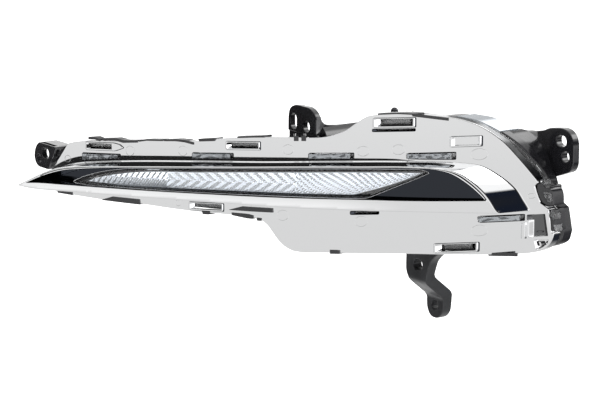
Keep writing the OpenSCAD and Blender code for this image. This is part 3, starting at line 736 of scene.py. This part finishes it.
# small window in the lower corner
win_i = flange_path([(181.0, -91.9, 0.5), (197.0, -92.0, 0.5), (194.2, -73.5, 0.5), (179.6, -73.5, 0.4), (179.6, -77.4, 0.4), (181.0, -78.0, 0.4)], 2.0)
deep = Radial(1.9)
b = frame_m.arc_front(win_i, front, 0.2, -1) + frame_m.arc_root(win_i, deep, 0.2, -1)
frame_m.strips(b)
# the wall beside the snap tab is in its shade
nb = len(win_i)
for k in range(len(frame_m.f) - nb * (len(b) - 1), len(frame_m.f)):
    q = frame_m.p[list(frame_m.f[k])].mean(0)
    if q[2] > -78.2 and q[0] < float(pr([[184.5, 0]])[0][0]):
        frame_m.m[k] = 2
f0.append(b[0])
# low lip along the window's left side
lo = flange_path([(176.9, -93.2, 0.4), (179.6, -93.2, 0.4), (179.6, -80.0, 0.4), (176.9, -80.0, 0.4)], 1.5)
a = frame_m.arc_front(lo, Radial(-0.9), 0.16) + frame_m.arc_root(lo, front, 0.12)
frame_m.strips(a)
frame_m.fill([a[0]], Radial(-0.9), 2.0)
f0.append(a[-1])
rib = flange_path([(193.0, -90.4, 0.3), (194.8, -90.4, 0.3), (192.6, -75.0, 0.3), (190.8, -75.0, 0.3)], 1.5)
dome = circle(pr([[187.4, -88.6]])[0], 0.9, 20)
c = frame_m.arc_front(rib, Radial(1.2), 0.2) + frame_m.arc_root(rib, deep, 0.15)
d = frame_m.arc_front(dome, Radial(1.2), 0.4) + frame_m.arc_root(dome, deep, 0.15)
# painted shade: the rib, the dome and the window's floor take the shaded chrome
frame_m.strips(c, 2)
frame_m.strips(d, 2)
frame_m.fill([c[0]], Radial(1.2), 2.0, 2)
frame_m.fill([d[0]], Radial(1.2), 2.0, 2)
frame_m.fill([b[-1], c[-1], d[-1]], deep, 2.0, 2)
# sculpted hollow in the corner under it, with a rib across; the rib's sides are painted shade in the shaded chrome
hol = flange_path([(185.4, -94.9, 0.6), (197.6, -94.9, 0.8), (196.4, -98.4, 1.0), (192.0, -101.6, 1.0), (187.6, -103.0, 0.6)], 1.5)
sunk = Radial(1.5)
a = frame_m.arc_front(hol, front, 0.3, -1) + frame_m.arc_root(hol, sunk, 0.5, -1)
frame_m.strips(a)
f0.append(a[0])
bar = flange_path([(189.2, -96.3, 0.4), (191.0, -96.3, 0.4), (192.6, -99.6, 0.4), (190.6, -100.6, 0.4)], 1.2)
e = frame_m.arc_front(bar, front, 0.12) + frame_m.arc_root(bar, sunk, 0.12)
frame_m.strips(e, 2)
frame_m.fill([e[0]], front, 2.0)
frame_m.fill([a[-1], e[-1]], sunk, 2.0)

# faint rings left by the mould's ejector pins
marks = [(-193.0, -27.6, 3.0), (-141.7, -19.0, 4.3), (-98.9, -17.8, 4.3), (-14.6, -15.6, 4.3), (45.4, -17.2, 4.4), (73.8, -16.3, 4.4), (139.2, -21.7, 5.0),
         (182.6, -57.9, 2.2), (-103.3, -60.6, 2.6), (-19.0, -69.4, 4.6), (44.1, -74.6, 4.6), (140.1, -84.6, 4.9)]
for x, z, rad in marks:
    c = pr([[x, z]])[0]
    an = np.linspace(0, 2*math.pi, 36, endpoint=False)
    lo = np.column_stack([c[0] + rad*0.6*np.cos(an), c[1] + rad*0.92*np.sin(an)])
    o1 = frame_m.ring(lo, 0.2, front, 0, 0, 1)
    o2 = frame_m.ring(lo, 0.1, front, 0.05, -0.3, 1)
    o3 = frame_m.ring(lo, -0.1, front, 0.05, 0.3, 1)
    o4 = frame_m.ring(lo, -0.2, front, 0.0, 0, 1)
    frame_m.strips([o1, o2, o3, o4])
    frame_m.fill([o4], front, 2.5)
    f0.append(o1)
frame_m.fill(f0, front, 3.0)
frame_m.fill(back, behind, 6.0, 0, -1.0)
frame_ob = frame_m.make("chrome_frame_body", [CHROME, PAINTED_SHADE_DARK, SHADE])
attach(frame_ob, ROOT)
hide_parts("chrome_frame")

# ---------------------------------------------------------------- clear lens
lens_m = Piece()
plate_f, plate_b = Radial(3.0), Radial(5.5)
rim_loop = off(flange, -2.0)
rim_loop = flange_path([
    (-190, -17.6, 1.0), (-176, -14.6, 1.0), (-135, -13.6, 1.0), (-101, -11.6, 1.0), (-70.6, -9.8, 1.0), (-30, -8.0, None),
    (5, -8.4, None), (22, -6.2, None), (36, 0.6, None), (47.5, 7.8, None), (57, 9.9, None), (72, 10.4, None), (90, 9.6, None), (107, 7.9, None), (127, 3.6, None),
    (149, -8, None), (159, -16, None), (169, -27, None), (178.3, -38, None), (183.5, -47, 1.0), (182.6, -52, 1.0), (186, -64, 1.0), (193, -71, 1.0),
    (196, -91, 1.0), (193, -99.5, None), (187, -102.2, None), (171.6, -103.2, None), (149, -102.7, None), (116, -101.4, None), (81, -99.8, None), (31, -98.4, None),
    (-5, -97.2, None), (-13.6, -93.4, None), (-19.2, -88, None), (-27.2, -76.6, None), (-36, -70.6, None), (-61, -66.8, None), (-84, -65, None), (-108, -62.8, None),
    (-134, -59.8, None), (-168, -57.4, None), (-190, -55, None), (-201.5, -52.6, 3.0), (-203.5, -40, None), (-199, -33, None)])
face = Radial(0, 12.0)
inner_face = Radial(0, 9.8)
lens_in = flange_path([(-175, -44.6, 1.0), (-170, -42.56, None), (-158, -38.2, None), (-141, -35, None), (-77, -32.4, None), (2, -31.7, None), (60, -32.2, None),
                       (101, -33.18, 1.0), (107, -34.9, 1.0), (98.5, -38.2, None), (82, -44.0, None), (60, -52.0, 1.5), (44, -52.4, None), (5, -51.3, None),
                       (-51, -49.5, None), (-107, -47.8, None), (-145, -46.4, None), (-166, -45.6, None)])
a = lens_m.arc_front(lens_face, face, 0.9, 1, 4) + lens_m.arc_root(lens_face, plate_f, 0.6)
lens_m.strips(a)
b = lens_m.arc_front(rim_loop, plate_f, 0.3) + lens_m.arc_back(rim_loop, plate_b, 0.3)
lens_m.strips(b)
c = [lens_m.ring(lens_in, 0, inner_face, 0, 0, -1), lens_m.ring(lens_in, 0, inner_face, 0.05, -1, 0), lens_m.ring(lens_in, 0, plate_b, -0.05, -1, 0), lens_m.ring(lens_in, 0, plate_b, 0, 0, -1)]
lens_m.strips(c)
lens_m.fill([a[0]], face, 3.0)
lens_m.fill([c[0]], inner_face, 4.0, 0, -1.0)
pf = [b[0], a[-1]]
for x0, x1, z0, z1 in tabs:
    loop = tab_loop(x0, x1, z0, z1, 0.0, 0.5)
    tt = lens_m.arc_front(loop, Radial(-1.2), 0.4, 1, 3) + lens_m.arc_root(loop, plate_f, 0.2, 1, 2)
    lens_m.strips(tt)
    # ribs and a sloping catch on the tab's face
    lens_m.fill([tt[0]], Ribs((x0 + x1)/2), 0.4, 1)
    pf.append(tt[-1])
lens_m.fill(pf, plate_f, 5.0)
d_out = flange_path([(196.6, -61.0, 1.2), (199.3, -64.8, 1.0), (202.0, -63.8, 1.0), (200.8, -58.8, 1.5), (199.5, -55.0, 1.0), (195.0, -55.7, 1.0)], 1.0)
d_in = flange_path([(197.9, -60.4, 0.6), (199.4, -62.6, 0.4), (200.1, -62.3, 0.4), (199.2, -59.0, 0.6), (198.3, -56.7, 0.4), (196.7, -57.0, 0.4)], 1.0)
lens_m.slab(d_out, [d_in], Ribs(198.6), Radial(0.4), 0.15, 0.1, 0.7)
# clear skirt along the upper right of the rim
skirt = flange_path([(110.5, 7.4, 0.4), (126, 3.2, None), (137, -1.8, None), (144.8, -6.2, 0.4), (146.0, -4.4, 0.4), (138, 0.2, None), (127, 5.4, None), (111.2, 9.2, 0.4)], 1.5)
lens_m.slab(skirt, [], Radial(5.2), Radial(13.0), 0.3, 0.3, 4.0, 1)
for tongue in ([(199.6, -69.8), (202.2, -69.4), (205.0, -74.0), (205.4, -79.2), (203.0, -79.6), (201.6, -74.6)], [(204.0, -83.0), (206.4, -82.8), (207.4, -88.6), (204.8, -89.0)],
          [(193.2, -44.8), (196.0, -45.0), (196.8, -49.4), (194.0, -49.2)]):
    tg = [(x, z, 0.6) for x, z in reversed(tongue)]
    lens_m.slab(flange_path(tg, 1.2), [], Ribs(float(np.mean([q[0] for q in tg]))), Radial(1.2), 0.3, 0.3, 0.7)
lens_m.fill([b[-1], c[-1]], plate_b, 6.0, 0, -1.0)
lens_ob = lens_m.make("outer_lens_body", [CLEAR, TAB])
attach(lens_ob, ROOT)
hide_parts("outer_lens")

# ---------------------------------------------------------------- rear housing
house = Piece()
rim_o = rim_loop
rim_i = off(rim_loop, -2.6)
house.slab(rim_o, [rim_i], Radial(6.5), Radial(9.6), 0.3, 0.5, 6.0)
house.slab(off(rim_loop, -0.1), [], Radial(8.0), Radial(9.5), 0.2, 0.5, 8.0)
body = flange_path([
    (-189, -18, 3), (-60, -17, 3), (25, -17, None), (36, -10, None), (48, 2, None), (58, 4.8, None), (92, 4.8, None), (107, 1, None), (118, -5, 2), (143, -8, None),
    (154, -15, None), (167, -31, None), (176.5, -46, None), (181.5, -60, None), (185.5, -75, None), (187.5, -90, None), (184.5, -97, 3), (175, -100, 2), (100, -98, None),
    (0, -94, None), (-10, -90, None), (-18, -80, None), (-24, -70, None), (-34, -67, 2), (-62, -63, None), (-118, -58, None), (-170, -54, None), (-192, -51.5, 2), (-195.5, -42, 2), (-193, -25, 2)])
house.slab(body, [], Radial(8.5), PlaneY(24.0), 0.2, 1.1, 7.0, nb=4)


def lug(piece, outline, holes, t0, t1, r=0.5, kz=0.0):
    o = path(outline, 2.0)
    piece.slab(o, holes, PlaneT(t0), PlaneT(t1), r, r, 5.0, nf=3, nb=3)


# left lug
lug(house, [(-147, -17.5, 2), (-118.5, -17.5, 1), (-132, -38, 1), (-148, -38, 2), (-152.5, -35.5, 2), (-155, -30, 3), (-152.5, -22, 3)],
    [circle((-147, -31), 3.75), oblong((-136, -25.2), 5.8, 4.2, 4.1)], -163.7, -158.7)
lug(house, [(-118.5, -17.5, 0.6), (-132, -38, 0.6), (-134.4, -38, 0.6), (-120.9, -17.5, 0.6)], [], -162.5, -136, 0.4)
lug(house, [(-147, -20.0, 0.6), (-121, -20.0, 0.6), (-120, -17.5, 0.6), (-147, -17.5, 0.6)], [], -163.2, -147, 0.4)
lug(house, [(-122, -17.5, 0.6), (-114, -18.5, 0.6), (-117, -36, 0.6), (-133.5, -36, 0.6)], [], -143.4, -136, 0.4)
# top lug
lug(house, [(-25.7, -6.4, 0.6), (-25.5, 6, 5), (-23.4, 12.5, 5), (-16, 16, 5), (5, 16, 6), (13.5, 11, 6), (13.5, -6.4, 0.6)],
    [circle((0, 0), 4.5), oblong((-17.9, 2), 4.2, 6.4, 4.1)], 0, 5, 0.6)
lug(house, [(-25.7, -18.5, 1), (-25.7, -5.4, 0.4), (13.5, -5.4, 0.4), (13.5, -18.5, 1)], [], 1.2, 4.9, 0.4)


def cross(piece, outline, s0, s1, r=0.5):
    """Prism across the driving direction: outline in (t, z), from s0 to s1."""
    o = path(outline, 2.0)
    q = Piece()
    # built along t, then its axes are exchanged
    q.slab(o, [], PlaneT(s0), PlaneT(s1), r, r, 6.0, nf=3, nb=3)
    base = len(piece.p)
    piece.p = np.vstack([piece.p, q.p[:, [1, 0, 2]]])
    piece.n = np.vstack([piece.n, q.n[:, [1, 0, 2]]])
    piece.f += [tuple(i + base for i in f) for f in q.f]
    piece.m += q.m


cross(house, [(0.5, -4.5, 0.5), (46, -4.5, 0.5), (46, -1, 1), (13, 2, 3), (8.5, 3.2, 2), (6, 6, 2), (5, 10, 1), (0.5, 10, 0.5)], 9.5, 13.4)
cross(house, [(3.4, -18, 0.5), (46, -18, 0.5), (46, -4, 0.3), (3.4, -4, 0.3)], 9.5, 13.4, 0.4)
# sloping shoulder between the lug's web and the body
lug(house, [(12.6, -18, 0.5), (19.6, -18, 1), (19.4, -6.4, 1.5), (17.2, -2.4, 2), (12.6, 1.6, 0.5)], [], 6.5, 46, 0.5)
# right lug
lug(house, [(72.5, -11.4, 1), (84, -9.2, 4), (90, -6.2, 4), (106, -3.8, 3), (114, -5, 4), (119, -9, 4), (121.3, -15, 4), (121.3, -33, 4), (118, -38.5, 4), (100.4, -45, 1), (84, -45, 1)],
    [circle((111.5, -26.9), 4.5), oblong((106, -14.6), 6.3, 4.5, 4.4)], 178.3, 185, 0.7)


class Cheek:
    """Right side of the arm that carries the lug. It bends over from the side to the top."""

    def t(self, a, z):
        top = -6.4 - 4.2 * np.clip((a - 128) / 50, 0, 1)
        u = np.clip((z - (top - 15.0)) / 15.4, 0, 0.975)
        return 81.5 - 0.417 * (z + 7) - 3.0 * np.clip((170 - a) / 42, 0, 1) - 11.0 * (1 - np.sqrt(1 - u*u))

    def n(self, a, z):
        g = (self.t(a, z + 0.1) - self.t(a, z - 0.1)) / 0.2
        h = (self.t(a + 0.1, z) - self.t(a - 0.1, z)) / 0.2
        return unit(np.column_stack([h, -np.ones(len(a)), g]))


arm = path([(150, -44, 1), (179.6, -44.5, 0.6), (179.6, -10.9, 0.6), (130, -6.8, 0.6), (131, -25, None), (139, -35, None)], 2.0)
q = Piece()
q.slab(arm, [], PlaneT(68.6), Cheek(), 0.3, 0.3, 1.6, nf=3, nb=3)
base = len(house.p)
house.p = np.vstack([house.p, q.p[:, [1, 0, 2]]])
house.n = np.vstack([house.n, q.n[:, [1, 0, 2]]])
house.f += [tuple(i + base for i in f) for f in q.f]
house.m += q.m
# bottom lug: an upper and a lower leg with a slanting bend between them

class Bend:
    """Surface across the lug that steps from t0 to t1 between two heights."""

    def __init__(self, t0, t1, z0, z1):
        self.a = (t0, t1, z0, z1)

    def t(self, s, z):
        t0, t1, z0, z1 = self.a
        u = np.clip((z0 - z) / (z0 - z1), -0.5, 1.5)
        w = 0.16
        def soft(v):
            return np.where(v < -w, 0, np.where(v > w, v, (v + w)**2 / (4*w)))
        return t0 + (t1 - t0) * (soft(u) - soft(u - 1))

    def n(self, s, z):
        g = (self.t(s, z + 0.1) - self.t(s, z - 0.1)) / 0.2
        return unit(np.column_stack([0*s, -np.ones(len(s)), g]))


foot = path([(26, -94, 0.5), (65, -94, 0.5), (68.5, -103.6, 0.8), (62.4, -108.2, None), (58.8, -112.2, None), (56.5, -117, 3), (53.2, -126, 3), (52, -146, 3), (50.5, -159, 4), (44, -165.5, 5),
             (34, -165.5, 5), (29, -159, 4), (28.5, -146, 3), (29.6, -131, 3), (25.8, -124, 3), (26.2, -108, 4)], 1.6)
house.slab(foot, [circle((39.6, -154.4), 4.2), oblong((42.2, -117), 5.9, 4.5, 4.4)], Bend(82, 102, -131, -147), Bend(91, 111, -126, -142), 0.9, 0.9, 2.5, 1)


def merge(piece, q, ps, pt, back=False):
    """Adds q, whose own axes s and t lie along the given directions of the drawing frame."""
    base = len(piece.p)
    M = np.array([[ps[0], pt[0], 0], [ps[1], pt[1], 0], [0, 0, 1.0]])
    piece.p = np.vstack([piece.p, q.p @ M.T])
    piece.n = np.vstack([piece.n, q.n @ M.T])
    piece.f += [tuple(i + base for i in f) for f in q.f]
    piece.m += q.m


def yslab(piece, outline, holes, y0, y1, r=0.4, mat=0):
    """Plate square to Y: outline in x and z."""
    q = Piece()
    q.slab(outline, holes, PlaneT(y0), PlaneT(y1), r, r, 6.0, mat, 3, 3)
    merge(piece, q, (CA, SA), (-SA, CA))


def xz(x0, x1, z0, z1, r=0.5):
    return path([(x0, z0, r), (x1, z0, r), (x1, z1, r), (x0, z1, r)], 3.0)


def hook(piece, x0, x1, z0, z1, up, th, lip=3.0):
    """Hook over the frame's edge, which runs from z0 at x0 to z1 at x1."""
    y = float(fy((x0 + x1) / 2))

    def band(a, b, g):
        (a0, b0), (a1, b1) = sorted((z0 + up*a, z0 + up*b)), sorted((z1 + up*a, z1 + up*b))
        return path([(x0 + g, a0, 0.2), (x1 - g, a1, 0.2), (x1 - g, b1, 0.2), (x0 + g, b0, 0.2)], 3.0)
    yslab(piece, band(0.3, 0.3 + th, 0), [], y - 1.9, y + 9.4, 0.2)
    yslab(piece, band(-lip, 0.2 + th, 0.05), [], y - 1.85, y - 0.5, 0.3)


hook(house, -10, -6, -5.5, -5.5, 1, 0.9)
hook(house, -4, 0, -5.5, -5.5, 1, 0.9)
hook(house, 84.5, 114, 12.0, 8.4, 1, 0.6, 1.6)
hook(house, 148, 172, -105.4, -105.9, -1, 0.7, 1.8)
# black clips that reach over the frame's upper and lower edges
clips = [
    [(-176, -8.7), (-171.2, -8.5), (-166.4, -10.4), (-166.6, -12.2), (-170.6, -10.8), (-176, -10.9)],
    [(-165, -9.4), (-154, -8.8), (-147.6, -10.3), (-136.2, -10.0), (-135.9, -12.1), (-147.8, -12.7), (-154.2, -11.0), (-165, -11.2)],
    [(-134.6, -9.9), (-128.6, -8.8), (-115.6, -8.7), (-115.6, -10.3), (-128.6, -10.4), (-134.6, -11.4)],
    [(-114.4, -8.7), (-105, -8.1), (-97.9, -8.7), (-90.7, -10.6), (-90.7, -12.6), (-97.9, -10.8), (-105, -10.1), (-114.4, -10.3)],
    [(-87, -7.6), (-72.2, -6.6), (-73.8, -9.3), (-85.8, -9.9)],
    [(-55.3, -5.0), (-33.7, -4.1), (-33.7, -5.7), (-55.3, -6.6)],
    [(-202.4, -53.4), (-190.2, -54.6), (-190.2, -57.6), (-202.4, -56.2)],
    [(-166.6, -60.4), (-157, -57.2), (-135, -58.6), (-134.4, -63.0), (-150, -61.8)],
    [(-62.6, -65.4), (-51.5, -62.4), (-27.4, -63.6), (-27.2, -67.2), (-45, -66.4)],
    [(-60.4, -67.6), (-47, -68.6), (-43, -69.8), (-43.4, -72.6), (-48, -72.2), (-59.8, -69.8)],
    [(-84.4, -66.6), (-78.2, -67.0), (-78.8, -69.6), (-83.6, -69.4)],
    [(-40.2, -71.6), (-36.6, -71.8), (-37.0, -74.2), (-39.8, -74.0)],
    [(19, -98.0), (26.5, -98.2), (26.5, -101.4), (19, -101.2)],
    [(57.0, 13.6), (73, 13.9), (87, 12.9), (87, 11.6), (73, 12.6), (57.0, 12.2)]]
for c in clips:
    c = [(x + 1.1, z, 0.35) for x, z in reversed(c)]
    house.slab(flange_path(c, 1.5), [], Radial(-0.8), Radial(4.0), 0.25, 0.25, 4.0)
# catch plate at the right wall
plate = flange_path([(188.0, -48.8, 0.8), (188.8, -55.0, 0.8), (190.6, -60.0, 1.0), (193.4, -64.2, 1.0), (197.0, -66.2, 1.0), (202.6, -67.2, 1.0), (202.4, -58.4, 2.5),
                     (200.8, -53.6, 1.6), (196.0, -51.6, 1.0), (191.6, -47.4, 0.8)], 1.6)
house.slab(plate, [], Radial(-0.6), Radial(3.4), 0.4, 0.4, 3.0)
house.slab(flange_path([(198.8, -70.8, 0.5), (200.1, -88.0, 0.5), (204.0, -88.4, 0.8), (202.4, -70.2, 0.8)], 1.5), [], Radial(-0.2), Radial(3.6), 0.3, 0.3, 3.0)
# seat for the cover, vent neck, boss under the peg, loop on the right wall
yslab(house, xz(58.2, 173.8, -98.8, -55.2, 2.0), [xz(64, 168, -93, -61, 1.5)], 22, 29, 0.5)
yslab(house, circle((-20, -40), 6.0), [circle((-20, -40), 3.0)], 22.5, 29, 0.4)
for x, z in ((-150, -50), (-105, -51), (-62, -52), (20, -60), (42, -78)):
    # stiffening ribs across the rear face
    yslab(house, xz(x - 0.8, x + 0.8, z, -22, 0.4), [], 23.5, 26.0, 0.4)
yslab(house, xz(-184, 52, -41.0, -39.4, 0.4), [], 23.5, 26.0, 0.4)
loop_o = path([(101.4, -63, 0.5), (106.4, -63, 1.2), (106.4, -50.5, 1.2), (101.4, -50.5, 0.5)], 2.0)
loop_i = path([(102.9, -60, 0.5), (105, -60, 0.5), (105, -53.5, 0.5), (102.9, -53.5, 0.5)], 2.0)
house.slab(loop_o, [loop_i], PlaneT(168), PlaneT(180), 0.4, 0.4)
house.slab(path([(98.5, -63, 0.4), (102, -63, 0.4), (102, -50.5, 0.4), (98.5, -50.5, 0.4)], 2.0), [], PlaneT(171.5), PlaneT(180), 0.4, 0.4)
house_ob = house.make("rear_housing_body", [BLACK, GRAIN])
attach(house_ob, ROOT)
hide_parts("rear_housing")

# ---------------------------------------------------------------- patterned inner optic
optic = Piece()
XS = np.linspace(-260, 260, 2601)
SS = XS*CA - fy(XS)*SA


class Pattern:
    """Optic face with moulded prisms: bars at the left, chevrons in the middle, slanting strokes at the right."""

    def h(self, s, z):
        x = np.interp(s, SS, XS)
        zc = -41.6 - 0.020*(x + 40)
        dz = z - zc
        up = dz > 0
        a = (x - 0.62*dz + np.where(up, 2.1, 0.0)) / 4.2
        b = (x + 1.25*np.abs(dz)) / 8.2
        c = (x + 1.5*dz + 1.8*np.sin(x/9.0)) / 6.6
        wa = np.clip((-104.5 - x)/3 + 0.5, 0, 1)
        wc = np.clip((x + 2)/4 + 0.5, 0, 1)

        def tri(v):
            return 1 - np.abs(2*(v - np.floor(v)) - 1)

        def saw(v, w=0.3):
            f = v - np.floor(v)
            return np.where(f < 1 - w, f/(1 - w), (1 - f)/w)
        fine = 0.16*np.sin(6.283*(x - 0.5*dz)/2.3) * (1 - wa)
        return -0.09*dz + wa*0.8*tri(a) + (1 - wa)*(1 - wc)*(2.0*saw(b) + fine) + wc*(1.8*saw(c, 0.4) + fine)

    def t(self, s, z):
        return Radial(0, 6.4).t(s, z) - self.h(s, z)

    def n(self, s, z):
        e = 0.1
        gs = (self.t(s + e, z) - self.t(s - e, z)) / (2*e)
        gz = (self.t(s, z + e) - self.t(s, z - e)) / (2*e)
        return unit(np.column_stack([gs, -np.ones(len(s)), gz]))


optic_o = flange_path([(-171.5, -44.2, 0.8), (-160.3, -40.3, None), (-141.4, -36.6, None), (-77.6, -34.2, None), (2.4, -33.5, None), (60, -34.0, None), (97, -35.2, 1.0),
                       (86, -39.8, None), (70.5, -44.8, None), (43, -52.0, 1.5), (2.4, -50.8, None), (-54, -48.8, None), (-110, -47.2, None), (-148, -46.0, None)])
pat = Pattern()
flat = Radial(0, 6.4)
a = [optic.ring(optic_o, -0.3, flat, 0, 0, 1), optic.ring(optic_o, 0, flat, 0.3, 1, 0), optic.ring(optic_o, 0, flat, 3.2, 1, 0), optic.ring(optic_o, -0.3, flat, 3.5, 0, -1)]
optic.strips(a)
optic.fill([a[0]], pat, 0.4)
optic.fill([a[-1]], flat, 6.0, 0, -1.0, 3.5)
optic_ob = optic.make("inner_optic_body", [OPTIC_PAINTED_GLOW])
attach(optic_ob, ROOT)
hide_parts("inner_optic")

# ---------------------------------------------------------------- carried-over pieces
ZINC = material("zinc_screw", (0.62, 0.63, 0.65), 0.3, 1.0, rough_var=(300, 0.2, 0.4))
looks = {
    "lens_seal": material("sealant", (0.05, 0.05, 0.052), 0.6, bump=(600, 0.2, 0.0003)),
    "reflector": material("silvered_tray", (0.9, 0.91, 0.93), 0.08, 1.0, rough_var=(80, 0.05, 0.12)),
    "amber_leds": material("amber_light", (0.95, 0.55, 0.1), 0.15, coat=0.6, rough_var=(400, 0.1, 0.2)),
    "white_leds": material("white_light", (0.95, 0.9, 0.55), 0.15, coat=0.6, rough_var=(400, 0.1, 0.2)),
    "thermal_pads": material("pad", (0.5, 0.58, 0.65), 0.7, bump=(900, 0.2, 0.0002)),
    "heat_sink": material("sink_metal", (0.72, 0.73, 0.74), 0.35, 1.0, rough_var=(200, 0.28, 0.45)),
    "board_leads": material("ribbon", (0.6, 0.45, 0.18), 0.35, mottle=(200, 0.1)),
    "driver_parts": material("electronics", (0.06, 0.06, 0.065), 0.4, mottle=(200, 0.3)),
    "connector_pins": material("contact", (0.83, 0.66, 0.32), 0.2, 1.0, rough_var=(500, 0.15, 0.3)),
    "rear_cover": MATT,
    "cover_seal": material("seal_rubber", (0.02, 0.02, 0.02), 0.7, bump=(900, 0.2, 0.0002)),
    "vent_cap": material("vent_rubber", (0.025, 0.025, 0.027), 0.6, bump=(900, 0.25, 0.0002), mottle=(80, 0.2)),
    "vent_membrane": material("membrane", (0.85, 0.85, 0.85), 0.9, bump=(2000, 0.4, 0.0002)),
    "peg_screw": material("black_screw", (0.06, 0.06, 0.065), 0.3, 1.0, rough_var=(300, 0.2, 0.4)),
}
board = material("circuit_board", (0.015, 0.13, 0.05), 0.35, coat=0.4, mottle=(150, 0.3))
for n in ("indicator_board", "inner_daytime_board", "outer_daytime_board", "driver_board"):
    looks[n] = board
for n in ("board_screws", "heat_sink_screws", "driver_screws", "cover_screws"):
    looks[n] = ZINC
for n, m in looks.items():
    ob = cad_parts[n]
    ob.data.materials.clear()
    ob.data.materials.append(m)
    if n in ("rear_cover", "vent_cap", "peg_screw", "cover_screws"):
        bv = ob.modifiers.new("edge", "BEVEL")
        bv.width = 0.0004
        bv.segments = 2
        bv.limit_method = "ANGLE"
        bv.angle_limit = math.radians(40)
        bv.harden_normals = True

# ---------------------------------------------------------------- floor, light, camera
sc = bpy.context.scene
me = bpy.data.meshes.new("floor")
me.from_pydata([(-40, -40, -0.32), (40, -40, -0.32), (40, 40, -0.32), (-40, 40, -0.32)], [], [(0, 1, 2, 3)])
floor = bpy.data.objects.new("floor", me)
sc.collection.objects.link(floor)
me.materials.append(material("floor_paint", (0.93, 0.93, 0.93), 0.8, emit=((1, 1, 1), 0.75)))
floor.visible_glossy = False
floor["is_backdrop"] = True

world = bpy.data.worlds.new("studio")
sc.world = world
world.use_nodes = True
nt = world.node_tree
nt.nodes.clear()
outn = nt.nodes.new("ShaderNodeOutputWorld")
bg = nt.nodes.new("ShaderNodeBackground")
nt.links.new(bg.outputs[0], outn.inputs[0])
tc = nt.nodes.new("ShaderNodeTexCoord")
sep = nt.nodes.new("ShaderNodeSeparateXYZ")
nt.links.new(tc.outputs["Generated"], sep.inputs[0])


def ramp(src, stops, lo=-1.0, hi=1.0):
    mr = nt.nodes.new("ShaderNodeMapRange")
    mr.inputs["From Min"].default_value = lo
    mr.inputs["From Max"].default_value = hi
    nt.links.new(src, mr.inputs["Value"])
    cr = nt.nodes.new("ShaderNodeValToRGB")
    e = cr.color_ramp.elements
    while len(e) > 1:
        e.remove(e[-1])
    for i, (p, c) in enumerate(stops):
        c = (c, c, c) if not isinstance(c, tuple) else c
        q = (p - lo) / (hi - lo)
        if i == 0:
            e[0].position = q
            e[0].color = (*c, 1)
        else:
            k = e.new(q)
            k.color = (*c, 1)
    nt.links.new(mr.outputs["Result"], cr.inputs["Fac"])
    return cr.outputs["Color"]


def mix(fac, a, b):
    m = nt.nodes.new("ShaderNodeMix")
    m.data_type = "RGBA"
    nt.links.new(fac, m.inputs[0])
    nt.links.new(a, m.inputs[6])
    nt.links.new(b, m.inputs[7])
    return m.outputs[2]


X, Y, Z = sep.outputs
front_sky = ramp(Z, [(-1, 0.60), (-0.45, 0.64), (-0.28, 0.69), (-0.2, 0.725), (-0.13, 0.86), (-0.06, 0.95), (-0.022, 0.93), (-0.006, 0.4), (0.008, 0.05), (0.12, 0.016),
                     (0.41, 0.016), (0.47, 1.0), (0.75, 1.0), (1, 1.0)])
rear_sky = ramp(Z, [(-1, 0.75), (-0.1, 0.95), (0.0, 1.0), (1, 1.0)])
back_w = ramp(Y, [(-0.15, 0.0), (0.25, 1.0)])
sky = mix(back_w, front_sky, rear_sky)
# dark flats beside the table: right of the lamp from beside it to the rear, and left
side = ramp(Z, [(-1, 0.5), (-0.6, 0.3), (-0.45, (0.016, 0.019, 0.026)), (0.27, (0.008, 0.011, 0.02)), (0.315, 1.0), (0.42, 1.0), (0.48, 4.0), (0.7, 4.0), (0.85, 1.0), (1, 1.0)])
ym = nt.nodes.new("ShaderNodeMath")
ym.operation = "MULTIPLY"
right = ramp(X, [(0.55, 0.0), (0.66, 1.0)])
ahead = ramp(Y, [(-0.25, 0.0), (-0.21, 1.0), (0.5, 1.0), (0.62, 0.0)])
nt.links.new(right, ym.inputs[0])
nt.links.new(ahead, ym.inputs[1])
sky = mix(ym.outputs[0], sky, side)
left = ramp(X, [(-0.8, 1.0), (-0.66, 0.0)])
# a lamp low at the right, in front of the lamp's ends
px = ramp(X, [(0.80, 0.0), (0.87, 1.0)])
py = ramp(Y, [(-0.5, 0.0), (-0.42, 1.0), (-0.29, 1.0), (-0.25, 0.0)])
pz = ramp(Z, [(-0.36, 0.0), (-0.28, 1.0), (-0.02, 1.0), (0.08, 0.0)])
pm = nt.nodes.new("ShaderNodeMath")
pm.operation = "MULTIPLY"
nt.links.new(px, pm.inputs[0])
nt.links.new(py, pm.inputs[1])
pm2 = nt.nodes.new("ShaderNodeMath")
pm2.operation = "MULTIPLY"
nt.links.new(pm.outputs[0], pm2.inputs[0])
nt.links.new(pz, pm2.inputs[1])
lamp = nt.nodes.new("ShaderNodeRGB")
lamp.outputs[0].default_value = (2.0, 2.0, 2.05, 1)
dark_left = ramp(Z, [(-1, 0.4), (-0.5, 0.10), (-0.1, 0.03), (0.3, 0.04), (0.45, 0.3), (0.55, 1.0), (1, 1.0)])
sky = mix(left, sky, dark_left)
sky = mix(pm2.outputs[0], sky, lamp.outputs[0])
nt.links.new(sky, bg.inputs["Color"])
bg.inputs["Strength"].default_value = 1.0

sc.view_settings.view_transform = "Standard"
sc.view_settings.look = "None"

cam = bpy.data.cameras.new("camera")
cam.lens, cam.sensor_width = 150.0, 36.0
cam.clip_start, cam.clip_end = 0.05, 100.0
camera = bpy.data.objects.new("camera", cam)
camera.location = (-0.006191, -1.968548, 0.358177)
camera.rotation_euler = (math.radians(78), 0, 0)
sc.collection.objects.link(camera)
sc.camera = camera

lo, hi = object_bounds()
